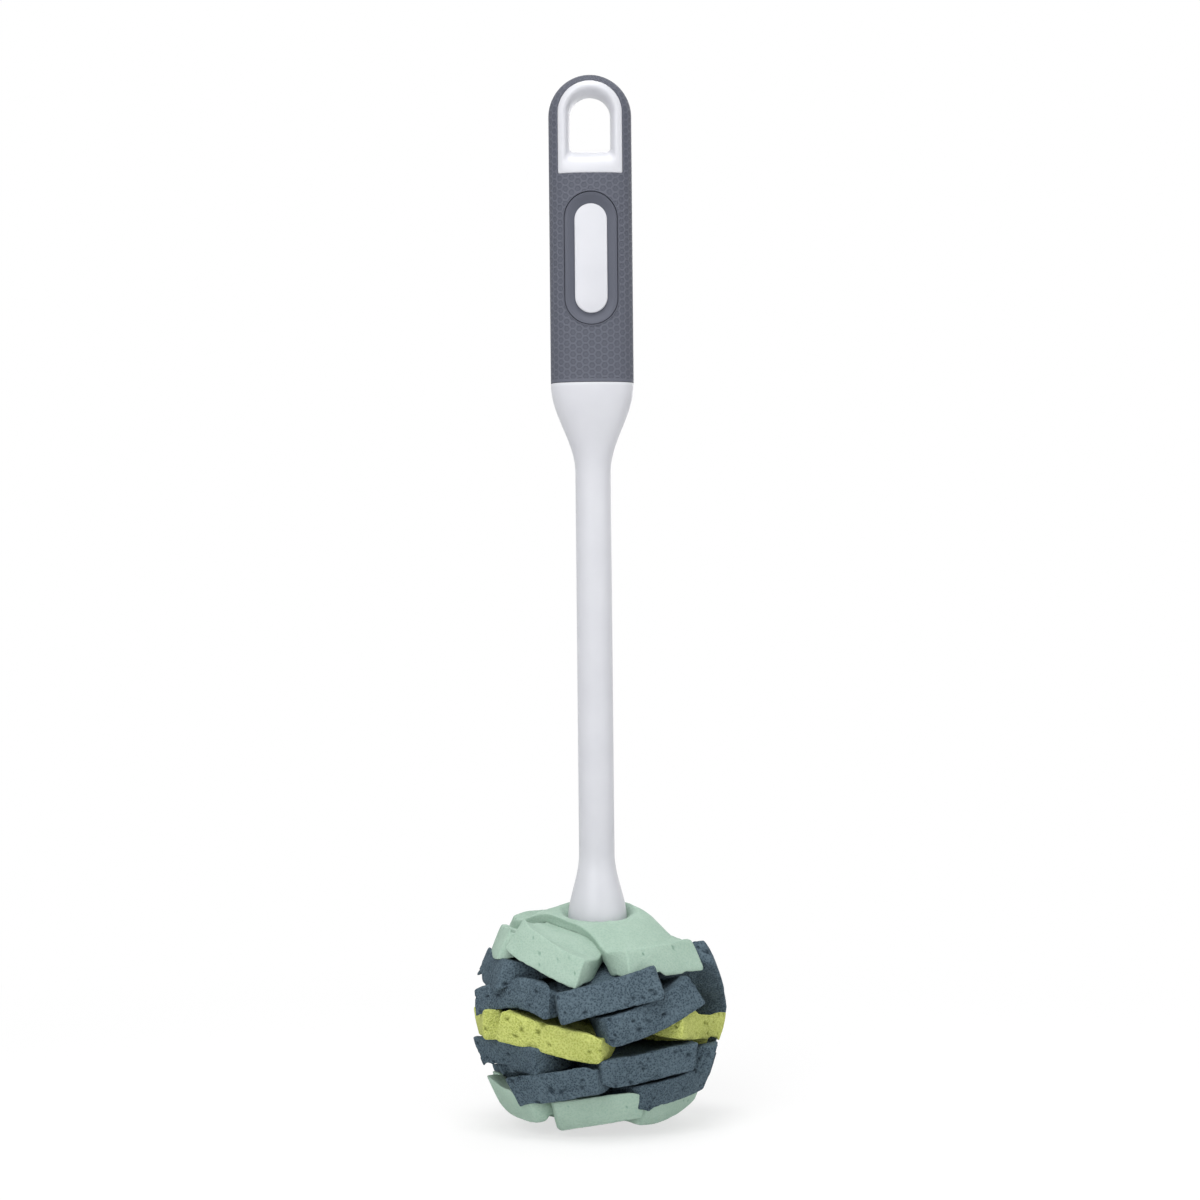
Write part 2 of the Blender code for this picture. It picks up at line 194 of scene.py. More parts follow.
def blend(tree: bpy.types.NodeTree, share: bpy.types.NodeSocket,
          first: bpy.types.NodeSocket | tuple[float, ...],
          second: bpy.types.NodeSocket | tuple[float, ...]) -> bpy.types.NodeSocket:
    """Mix two colours.

    Args:
        tree: Tree of the material.
        share: How much of the second colour there is.
        first: First colour.
        second: Second colour.

    Returns:
        The mixed colour.
    """
    return add_node(tree, "ShaderNodeMix", {"Factor": share, "A": first, "B": second},
                    data_type="RGBA").outputs["Result"]


def seen_share(tree: bpy.types.NodeTree) -> bpy.types.NodeSocket:
    """Tell the rays that show a surface from those by which it lights others.

    Args:
        tree: Tree of the material or of the room.

    Returns:
        1 for rays from the camera, also by a reflection or through glass, and 0 for others.
    """
    rays = add_node(tree, "ShaderNodeLightPath")
    seen = rays.outputs["Is Camera Ray"]
    for kind in ("Is Glossy Ray", "Is Transmission Ray"):
        seen = add_node(tree, "ShaderNodeMath", {0: seen, 1: rays.outputs[kind]},
                        operation="MAXIMUM").outputs["Value"]
    return seen


def oval_point(angle: float, half_width: float, half_depth: float,
               power: float) -> tuple[float, float]:
    """Point of a rounded oval.

    Args:
        angle: Turn about the oval's middle from +X towards +Y.
        half_width: Half of its width.
        half_depth: Half of its depth.
        power: 2 is an ellipse, more is squarer.

    Returns:
        The point's x and y.
    """
    share = 2.0 / power
    x, y = math.cos(angle), math.sin(angle)
    return (math.copysign(abs(x) ** share, x) * half_width,
            math.copysign(abs(y) ** share, y) * half_depth)


def ring(bm: bmesh.types.BMesh, points: Sequence[Vector]) -> list[bmesh.types.BMEdge]:
    """Add a closed ring of edges through points.

    Args:
        bm: Mesh that takes the ring.
        points: Places of the ring's corners in order.

    Returns:
        The ring's edges.
    """
    circle = bmesh.ops.create_circle(bm, segments=len(points), radius=1.0)["verts"]
    for corner, point in zip(circle, points):
        corner.co = point
    return list(dict.fromkeys(edge for corner in circle for edge in corner.link_edges))


def loft(bm: bmesh.types.BMesh, rows: Iterable[Sequence[Vector]], closed: bool) -> None:
    """Skin a row of rings.

    Args:
        bm: Mesh that takes the shell.
        rows: Corner points of each ring, all of the same count.
        closed: True joins the last ring to the first. False caps both ends.
    """
    rings = [ring(bm, points) for points in rows]
    pairs = list(zip(rings, rings[1:])) + ([(rings[-1], rings[0])] if closed else [])
    for first, second in pairs:
        bmesh.ops.bridge_loops(bm, edges=first + second)
    if not closed:
        for end in (rings[0], rings[-1]):
            bmesh.ops.edgeloop_fill(bm, edges=end)


def finished(name: str, bm: bmesh.types.BMesh, material: bpy.types.Material,
             crease: float = 40.0) -> bpy.types.Object:
    """Turn a mesh into a smooth-shaded object at the origin.

    Args:
        name: Name of the piece.
        bm: Its mesh, which is freed.
        material: Its finish.
        crease: Angle in degrees past which an edge stays sharp.

    Returns:
        The new object.
    """
    mesh = bpy.data.meshes.new(name)
    for face in bm.faces:
        face.smooth = True
    bm.to_mesh(mesh)
    bm.free()
    mesh.set_sharp_from_angle(angle=math.radians(crease))
    mesh.materials.append(material)
    piece = bpy.data.objects.new(name, mesh)
    bpy.context.scene.collection.objects.link(piece)
    return piece


def carved(bm: bmesh.types.BMesh, cutter: bmesh.types.BMesh) -> bmesh.types.BMesh:
    """Cut one closed mesh out of another.

    Args:
        bm: Mesh to cut, which is freed.
        cutter: Mesh to take away, which is freed.

    Returns:
        What is left.
    """
    objects = []
    for name, part in (("blank", bm), ("cutter", cutter)):
        mesh = bpy.data.meshes.new(name)
        part.to_mesh(mesh)
        part.free()
        objects.append(bpy.data.objects.new(name, mesh))
        bpy.context.scene.collection.objects.link(objects[-1])
    blank, tool = objects
    step = blank.modifiers.new("cut", "BOOLEAN")
    step.operation = "DIFFERENCE"
    step.solver = "EXACT"
    step.object = tool
    shape = blank.evaluated_get(bpy.context.evaluated_depsgraph_get())
    result = bmesh.new()
    result.from_mesh(shape.to_mesh())
    shape.to_mesh_clear()
    for used in objects:
        bpy.data.objects.remove(used)
    return result


@dataclass(frozen=True)
class SatinPolypropylene:
    """Injection-moulded white polypropylene with a satin skin.

    The mould's fine grain breaks up the highlight, and the plastic lets a little light in, so
    that edges glow instead of turning grey.
    """

    name: str = "satin moulded white polypropylene"
    colour: str = "#C8C9CE"
    shade: str = "#BDBEC4"
    grain: float = 0.35 * MM
    mottle: float = 14.0 * MM

    def material(self) -> bpy.types.Material:
        """Build the material.

        Returns:
            The material.
        """
        material, tree, place = fresh_material(self.name)
        mottle = speckle(tree, place, self.mottle, 2.0)
        grain = speckle(tree, place, self.grain, 1.0)
        tint = blend(tree, mottle, linear(self.colour), linear(self.shade))
        rough = add_node(tree, "ShaderNodeMapRange",
                         {"Value": mottle, "To Min": 0.34, "To Max": 0.46})
        bump = add_node(tree, "ShaderNodeBump",
                        {"Height": grain, "Strength": 0.06, "Distance": 0.1 * MM})
        plastic = add_node(tree, "ShaderNodeBsdfPrincipled", {
            "Base Color": tint, "Roughness": rough.outputs["Result"],
            "IOR": 1.49, "Subsurface Weight": 0.12, "Subsurface Radius": (1.0, 1.0, 1.1),
            "Subsurface Scale": 1.2 * MM, "Normal": bump.outputs["Normal"]})
        close_material(tree, plastic.outputs["BSDF"])
        return material


@dataclass(frozen=True)
class SoftTouchRubber:
    """Overmoulded thermoplastic rubber with a matt, soft-touch skin.

    The colour follows the honeycomb's relief: darker in the sunk cells as painted shade and
    lighter on the ridges as painted light; the rest is a dull blue-grey with hardly any
    highlight.
    """

    name: str = "matt soft-touch grey rubber"
    ridge: str = "#565964"
    floor: str = "#484B56"
    grain: float = 0.5 * MM
    relief: str = "relief"

    def material(self) -> bpy.types.Material:
        """Build the material.

        Returns:
            The material.
        """
        material, tree, place = fresh_material(self.name)
        height = add_node(tree, "ShaderNodeAttribute", attribute_name=self.relief)
        grain = speckle(tree, place, self.grain, 2.0)
        # Painted shade and light: the relief darkens the colour into the sunk cells and
        # lightens it on the ridges
        tint = blend(tree, height.outputs["Fac"], linear(self.floor), linear(self.ridge))
        bump = add_node(tree, "ShaderNodeBump",
                        {"Height": grain, "Strength": 0.15, "Distance": 0.1 * MM})
        rubber = add_node(tree, "ShaderNodeBsdfPrincipled", {
            "Base Color": tint, "Roughness": 0.62, "IOR": 1.5,
            "Specular IOR Level": 0.35, "Normal": bump.outputs["Normal"]})
        close_material(tree, rubber.outputs["BSDF"])
        return material


@dataclass(frozen=True)
class CutFoam:
    """Open-celled polyurethane foam, sliced and die cut.

    The knife opens the cells, so the skin is a field of small mouths between pale walls,
    with a few large blown pores, and it has no highlight at all. The mouths and pores are
    darkened as painted shade, and random patches add their own tone.
    """

    name: str
    wall: str
    # hollow: painted shade of the cell mouths, also the darker tone of random patches; deep:
    # painted shade in the blown pores
    hollow: str
    deep: str
    cell: float
    cell_share: float
    bump: float
    glow: float
    tone: float = 11.0 * MM
    pore: str = "pore"

    def material(self) -> bpy.types.Material:
        """Build the material.

        Returns:
            The material.
        """
        material, tree, place = fresh_material(self.name)
        wobble = add_node(tree, "ShaderNodeTexNoise",
                          {"Vector": place, "Scale": 0.6 / self.cell, "Detail": 1.0})
        bent = add_node(tree, "ShaderNodeVectorMath",
                        {0: wobble.outputs["Color"], 1: (self.cell,) * 3, 2: place},
                        operation="MULTIPLY_ADD")
        cells = add_node(tree, "ShaderNodeTexVoronoi",
                         {"Vector": bent.outputs["Vector"], "Scale": 1.0 / self.cell,
                          "Randomness": 1.0}, feature="F1")
        # Painted shade in the open cells: darker towards each cell's middle, up to cell_share
        # of the hollow colour
        mouths = add_node(tree, "ShaderNodeMapRange",
                          {"Value": cells.outputs["Distance"], "From Min": 0.05,
                           "From Max": 0.80, "To Min": self.cell_share, "To Max": 0.0},
                          interpolation_type="SMOOTHSTEP")
        patches = add_node(tree, "ShaderNodeMapRange",
                           {"Value": speckle(tree, place, self.tone, 4.0, 0.65),
                            "From Min": 0.35, "From Max": 0.75, "To Min": 0.0, "To Max": 0.35})
        shade = add_node(tree, "ShaderNodeMath", {0: mouths.outputs["Result"],
                                                  1: patches.outputs["Result"]},
                         operation="ADD", use_clamp=True)
        # The hollow colour is painted shade in the cell mouths and the darker tone of the
        # random patches
        skin = blend(tree, shade.outputs["Value"], linear(self.wall), linear(self.hollow))
        # Painted shade in the blown pores: the pore attribute darkens the colour towards the
        # deep colour
        blown = add_node(tree, "ShaderNodeAttribute", attribute_name=self.pore)
        colour = blend(tree, blown.outputs["Fac"], skin, linear(self.deep))
        bump = add_node(tree, "ShaderNodeBump", {"Height": cells.outputs["Distance"],
                                                 "Strength": self.bump,
                                                 "Distance": 0.5 * self.cell})
        foam = add_node(tree, "ShaderNodeBsdfPrincipled", {
            "Base Color": colour, "Roughness": 0.95, "IOR": 1.45,
            "Specular IOR Level": 0.1, "Subsurface Weight": self.glow,
            "Subsurface Radius": (1.0, 1.0, 1.0), "Subsurface Scale": 2.0 * MM,
            "Normal": bump.outputs["Normal"]})
        close_material(tree, foam.outputs["BSDF"])
        return material


@dataclass(frozen=True)
class StudioPaper:
    """Matt white background paper, which fades into the white room past its shadow."""

    name: str = "matt white studio paper"
    colour: str = "#F4F4F4"
    shadow_share: float = 0.35
    fade_from: float = 0.12
    fade_to: float = 0.45

    def material(self) -> bpy.types.Material:
        """Build the material.

        Returns:
            The material.
        """
        material, tree, place = fresh_material(self.name)
        away = add_node(tree, "ShaderNodeVectorMath", {0: place, 1: (1.0, 1.0, 0.0)},
                        operation="MULTIPLY")
        length = add_node(tree, "ShaderNodeVectorMath", {0: away.outputs["Vector"]},
                          operation="LENGTH")
        near = add_node(tree, "ShaderNodeMapRange",
                        {"Value": length.outputs["Value"], "From Min": self.fade_from,
                         "From Max": self.fade_to, "To Min": self.shadow_share, "To Max": 0.0},
                        interpolation_type="SMOOTHSTEP")
        paper = add_node(tree, "ShaderNodeBsdfDiffuse", {"Color": linear(self.colour)})
        white = add_node(tree, "ShaderNodeEmission", {"Strength": 1.0})
        washed = add_node(tree, "ShaderNodeMixShader", {0: near.outputs["Result"],
                                                        1: white.outputs["Emission"],
                                                        2: paper.outputs["BSDF"]})
        shader = add_node(tree, "ShaderNodeMixShader", {0: seen_share(tree),
                                                        1: paper.outputs["BSDF"],
                                                        2: washed.outputs["Shader"]})
        close_material(tree, shader.outputs["Shader"])
        return material


def arch_outline(half_width: float, crown_z: float, sill_z: float,
                 corner: float) -> list[tuple[float, float]]:
    """Outline of an arch seen from the front, with evenly cut stretches.

    Args:
        half_width: Half of its width.
        crown_z: Height of its half-round top.
        sill_z: Height of its flat bottom.
        corner: Radius of its two lower corners.

    Returns:
        Points (x, z), counter-clockwise from the right end of the crown.
    """
    crown_cuts, side_cuts, corner_cuts, sill_cuts = 48, 12, 6, 20
    spring_z = crown_z - half_width
    foot_z = sill_z + corner
    outline = [(half_width * math.cos(math.pi * step / crown_cuts),
                spring_z + half_width * math.sin(math.pi * step / crown_cuts))
               for step in range(crown_cuts)]
    outline += [(-half_width, spring_z + (foot_z - spring_z) * step / side_cuts)
                for step in range(side_cuts)]
    outline += [(-half_width + corner - corner * math.cos(0.5 * math.pi * step / corner_cuts),
                 foot_z - corner * math.sin(0.5 * math.pi * step / corner_cuts))
                for step in range(corner_cuts)]
    reach = half_width - corner
    outline += [(-reach + 2.0 * reach * step / sill_cuts, sill_z) for step in range(sill_cuts)]
    outline += [(reach + corner * math.sin(0.5 * math.pi * step / corner_cuts),
                 foot_z - corner * math.cos(0.5 * math.pi * step / corner_cuts))
                for step in range(corner_cuts)]
    outline += [(half_width, foot_z + (spring_z - foot_z) * step / side_cuts)
                for step in range(side_cuts)]
    return outline


def slot_outline(half_width: float, top_z: float, bottom_z: float) -> list[tuple[float, float]]:
    """Outline of an upright slot with a half circle at each end.

    Args:
        half_width: Half of its width.
        top_z: Height of its upper end.
        bottom_z: Height of its lower end.

    Returns:
        Points (x, z), counter-clockwise from the right end of the upper half circle.
    """
    round_cuts, side_cuts = 32, 24
    high, low = top_z - half_width, bottom_z + half_width
    outline = []
    for side, start_z, end_z, turn in ((-1.0, high, low, 0.0), (1.0, low, high, math.pi)):
        outline += [(half_width * math.cos(turn + math.pi * step / round_cuts),
                     start_z + half_width * math.sin(turn + math.pi * step / round_cuts))
                    for step in range(round_cuts)]
        outline += [(side * half_width, start_z + (end_z - start_z) * step / side_cuts)
                    for step in range(side_cuts)]
    return outline


@dataclass
class GripForm:
    """Outer form of the grip: a rounded oval section that ends in a half-round loop."""

    half_width: float
    half_depth: float
    top_z: float
    bottom_z: float
    section_power: float = 2.7
    crown_power: float = 3.2
    section_cuts: int = 1440
    probe: float = 0.05 * MM
    least_width: float = 0.01 * MM
    around: list[float] = field(default_factory=list, init=False)
    section: list[tuple[float, float]] = field(default_factory=list, init=False)

    def __post_init__(self) -> None:
        """Walk once round the section from the front centre and keep the way."""
        way = 0.0
        for step in range(self.section_cuts + 1):
            point = oval_point(math.tau * step / self.section_cuts - 0.5 * math.pi,
                               self.half_width, self.half_depth, self.section_power)
            if self.section:
                way += math.dist(point, self.section[-1])
            self.section.append(point)
            self.around.append(way)

    @property
    def shoulder_z(self) -> float:
        """Height at which the half-round loop begins."""
        return self.top_z - self.half_width

    @property
    def girth(self) -> float:
        """Way round the full section."""
        return self.around[-1]

    def shrink(self, rise: float) -> tuple[float, float]:
        """Shares of the full width and depth that are left round the loop.

        Args:
            rise: Angle up the half-round, from 0 at the shoulder to a quarter turn.

        Returns:
            The share of the width and the share of the depth.
        """
        depth = (1.0 - min(1.0, math.sin(rise)) ** self.crown_power) ** (1.0 / self.crown_power)
        return max(0.0, math.cos(rise)), depth

    def face(self, x: float, z: float) -> float:
        """Half depth of the grip at a place seen from the front.

        Args:
            x: Place across.
            z: Height.

        Returns:
            How far the surface is from the middle plane.
        """
        up = min(1.0, max(0.0, (z - self.shoulder_z) / self.half_width))
        width, depth = self.shrink(math.asin(up))
        out = min(1.0, abs(x) / max(self.half_width * width, self.least_width))
        return (self.half_depth * depth
                * (1.0 - out ** self.section_power) ** (1.0 / self.section_power))

    def skin(self, way: float, up: float) -> Vector:
        """Point on the surface.

        Args:
            way: Way round from the front centre towards +X.
            up: Height, or past the shoulder the way up the half-round.

        Returns:
            The place of the point.
        """
        way = way % self.girth
        index = min(bisect.bisect_right(self.around, way), len(self.around) - 1)
        before, after = self.around[index - 1], self.around[index]
        part = (way - before) / (after - before)
        (x0, y0), (x1, y1) = self.section[index - 1], self.section[index]
        rise = max(0.0, up - self.shoulder_z) / self.half_width
        width, depth = self.shrink(min(rise, 0.5 * math.pi))
        z = up if rise == 0.0 else self.shoulder_z + self.half_width * math.sin(rise)
        return Vector(((x0 + (x1 - x0) * part) * width, (y0 + (y1 - y0) * part) * depth, z))

    def wrapped(self, flat: Vector) -> Vector:
        """Place a point of a flat sheet on the grip.

        Args:
            flat: Way round, way up and height over the surface.

        Returns:
            The place of the point.
        """
        x, y, step = flat.x, flat.y, self.probe
        right = self.skin(x + step, y) - self.skin(x - step, y)
        upward = self.skin(x, y + step) - self.skin(x, y - step)
        return self.skin(x, y) + right.cross(upward).normalized() * flat.z


@dataclass
class WindowShape:
    """The white window in the grip and the smooth dished border round it."""

    half_width: float = 5.45 * MM
    top_z: float = -37.2 * MM
    bottom_z: float = -73.9 * MM
    half_depth: float = 8.4 * MM
    border_side: float = 3.6 * MM
    border_end: float = 4.1 * MM
    groove: float = 0.12 * MM
    dish_edge: float = 0.10 * MM
    dish_depth: float = 0.85 * MM
    lip_width: float = 0.42 * MM
    lip_rise: float = 0.10 * MM
    edge_roll: float = 0.25 * MM
    root_sink: float = 2.5 * MM
    slope_gap: float = 0.06
    slope_power: float = 0.8
    slope_cuts: int = 8

    def outline(self, grow_share: float, inset: float = 0.0) -> list[tuple[float, float]]:
        """Outline between the window's edge and the border's edge.

        Args:
            grow_share: 0 is the window's edge, 1 is the border's edge.
            inset: How far the outline is drawn in.

        Returns:
            Points (x, z).
        """
        return slot_outline(self.half_width + self.border_side * grow_share - inset,
                            self.top_z + self.border_end * grow_share - inset,
                            self.bottom_z - self.border_end * grow_share + inset)

    def pad(self, bm: bmesh.types.BMesh) -> None:
        """Add the white pad, which shows on both faces, with softly broken edges.

        Args:
            bm: Mesh that takes the pad.
        """
        steps = ((0.00, 0.45), (0.05, 0.20), (0.16, 0.05), (0.36, 0.0))
        stations = [(self.half_depth - sink * MM, inset * MM) for sink, inset in steps]
        rows = [(-y, inset) for y, inset in stations] + [(y, inset) for y, inset in
                                                         reversed(stations)]
        loft(bm, [[Vector((x, y, z)) for x, z in self.outline(0.0, inset)]
                  for y, inset in rows], closed=False)

    def dish(self, bm: bmesh.types.BMesh, form: GripForm, side: float) -> None:
        """Add the smooth border ring on one face of the grip.

        Args:
            bm: Mesh that takes the ring.
            form: Outer form of the grip.
            side: -1 for the front and 1 for the back.
        """
        outer_share = 1.0 - self.groove / self.border_side
        stations = [(outer_share, self.root_sink, 0.0),
                    (outer_share, self.dish_edge + self.edge_roll, 0.0)]
        for step in range(self.slope_cuts + 1):
            down = step / self.slope_cuts
            share = (outer_share - self.slope_gap) * (1.0 - down)
            stations.append((share, self.dish_edge, eased(down) ** self.slope_power))
        stations.append((0.0, self.root_sink, 1.0))
        rows = []
        for share, sink, blend in stations:
            row = []
            for x, z in self.outline(share):
                outer = form.face(x, z) - sink
                inner = self.half_depth - self.dish_depth - (sink - self.dish_edge)
                row.append(Vector((x, side * (outer + (inner - outer) * blend), z)))
            rows.append(row)
        loft(bm, rows, closed=True)

    def lip(self, bm: bmesh.types.BMesh, form: GripForm, side: float) -> None:
        """Add the fine raised lip that runs round the border on one face.

        Args:
            bm: Mesh that takes the lip.
            form: Outer form of the grip.
            side: -1 for the front and 1 for the back.
        """
        rows = []
        for across, rise in ((0.0, -3.0), (0.0, 0.4), (0.3, 1.0), (0.7, 1.0), (1.0, 0.0),
                             (1.0, -3.0)):
            rows.append([Vector((x, side * (form.face(x, z) + self.lip_rise * rise), z))
                         for x, z in self.outline(1.0, -self.lip_width * across)])
        loft(bm, rows, closed=True)


@dataclass
class LoopLiner:
    """White liner of the hanging loop: a flat rim that rolls into the hole."""

    hole_half_width: float = 6.85 * MM
    hole_crown_z: float = 0.0
    hole_sill_z: float = -19.2 * MM
    hole_corner: float = 1.4 * MM
    side_wall: float = 4.0 * MM
    top_wall: float = 4.3 * MM
    sill_wall: float = 7.8 * MM
    outer_corner: float = 0.6 * MM
    funnel_side: float = 2.7 * MM
    funnel_sill: float = 6.8 * MM
    throat_half_depth: float = 2.0 * MM
    rim_sink: float = 0.12 * MM
    rim_roll: float = 0.25 * MM
    roll_break: float = 0.3
    root_sink: float = 2.0 * MM
    corner_growth: float = 0.4
    roll_cuts: int = 12

    def outer(self, grow: float) -> list[tuple[float, float]]:
        """Outline of the liner's outside.

        Args:
            grow: How far it is grown all round.

        Returns:
            Points (x, z).
        """
        return arch_outline(self.hole_half_width + self.side_wall + grow,
                            self.hole_crown_z + self.top_wall + grow,
                            self.hole_sill_z - self.sill_wall - grow, self.outer_corner)

    def rolled(self, share: float) -> list[tuple[float, float]]:
        """Outline between the hole's throat and the mouth of its funnel.

        Args:
            share: 0 is the throat, 1 is the mouth.

        Returns:
            Points (x, z).
        """
        side = self.funnel_side * share
        return arch_outline(self.hole_half_width + side, self.hole_crown_z + side,
                            self.hole_sill_z - self.funnel_sill * share,
                            self.hole_corner + self.corner_growth * side)

    def half(self, form: GripForm, side: float) -> list[list[Vector]]:
        """Rows of points of one half, from the hidden outside to the throat.

        Args:
            form: Outer form of the grip.
            side: -1 for the front and 1 for the back.

        Returns:
            The rows in order.
        """
        roll, part = self.rim_roll, self.roll_break * self.rim_roll
        rows = [[Vector((x, side * max(0.0, form.face(x, z) - sink), z)) for x, z in outline]
                for outline, sink in ((self.outer(0.0), self.root_sink),
                                      (self.outer(0.0), self.rim_sink + roll),
                                      (self.outer(-part), self.rim_sink + part),
                                      (self.outer(-roll), self.rim_sink))]
        for step in range(self.roll_cuts + 1):
            turn = 0.5 * math.pi * step / self.roll_cuts
            share = 1.0 - math.sin(turn)
            row = []
            for x, z in self.rolled(share):
                face = form.face(x, z) - self.rim_sink
                deep = self.throat_half_depth
                row.append(Vector((x, side * (deep + (face - deep) * math.cos(turn)), z)))
            rows.append(row)
        return rows

    def build(self, bm: bmesh.types.BMesh, form: GripForm) -> None:
        """Add the liner as one closed ring.

        Args:
            bm: Mesh that takes the liner.
            form: Outer form of the grip.
        """
        loft(bm, self.half(form, -1.0) + self.half(form, 1.0)[::-1], closed=True)


@dataclass
class Stem:
    """White flare under the grip, round shaft and bell-shaped skirt over the foam."""

    top_z: float
    bottom_z: float
    flare_half_width: float
    flare_half_depth: float
    section_power: float
    flare_length: float = 30.0 * MM
    shaft_radius: float = 6.0 * MM
    skirt_radius: float = 10.0 * MM
    skirt_length: float = 24.0 * MM
    lip_radius: float = 0.8 * MM
    section_cuts: int = 96
    flare_cuts: int = 28
    skirt_cuts: int = 24
    lip_cuts: int = 4
    top_edge: float = 0.15 * MM

    def row(self, z: float, half_width: float, half_depth: float,
            power: float) -> list[Vector]:
        """Points of one rounded-oval section.

        Args:
            z: Its height.
            half_width: Half of its width.
            half_depth: Half of its depth.
            power: 2 is an ellipse, more is squarer.

        Returns:
            The points round it.
        """
        angles = [math.tau * step / self.section_cuts for step in range(self.section_cuts)]
        return [Vector((*oval_point(angle, half_width, half_depth, power), z))
                for angle in angles]

    def build(self, bm: bmesh.types.BMesh) -> None:
        """Add the stem as one closed shell.

        Args:
            bm: Mesh that takes the stem.
        """
        edge, thin = self.top_edge, self.shaft_radius
        rows = [self.row(self.top_z, self.flare_half_width - edge,
                         self.flare_half_depth - edge, self.section_power)]
        for step in range(self.flare_cuts + 1):
            down = step / self.flare_cuts
            share = 1.0 - eased(down)
            power = 2.0 + (self.section_power - 2.0) * share
            rows.append(self.row(self.top_z - edge - (self.flare_length - edge) * down,
                                 thin + (self.flare_half_width - thin) * share,
                                 thin + (self.flare_half_depth - thin) * share, power))
        skirt_top = self.bottom_z + self.skirt_length
        for step in range(self.skirt_cuts + 1):
            down = step / self.skirt_cuts
            radius = thin + (self.skirt_radius - thin) * eased(down)
            z = skirt_top - (self.skirt_length - self.lip_radius) * down
            rows.append(self.row(z, radius, radius, 2.0))
        for step in range(1, self.lip_cuts + 1):
            turn = 0.5 * math.pi * step / self.lip_cuts
            radius = self.skirt_radius - self.lip_radius * (1.0 - math.cos(turn))
            z = self.bottom_z + self.lip_radius * (1.0 - math.sin(turn))
            rows.append(self.row(z, radius, radius, 2.0))
        loft(bm, rows, closed=False)


@dataclass
class WhiteCore:
    """The white moulding: loop liner, window pad and stem."""

    form: GripForm
    window: WindowShape
    liner: LoopLiner
    stem: Stem

    def build(self, finish: SatinPolypropylene) -> bpy.types.Object:
        """Model and dress the moulding.

        Args:
            finish: Its plastic.

        Returns:
            The piece.
        """
        bm = bmesh.new()
        self.stem.build(bm)
        self.liner.build(bm, self.form)
        self.window.pad(bm)
        bmesh.ops.recalc_face_normals(bm, faces=bm.faces)
        piece = finished("white_core", bm, finish.material(), crease=50.0)
        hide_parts("handle_core")
        return piece


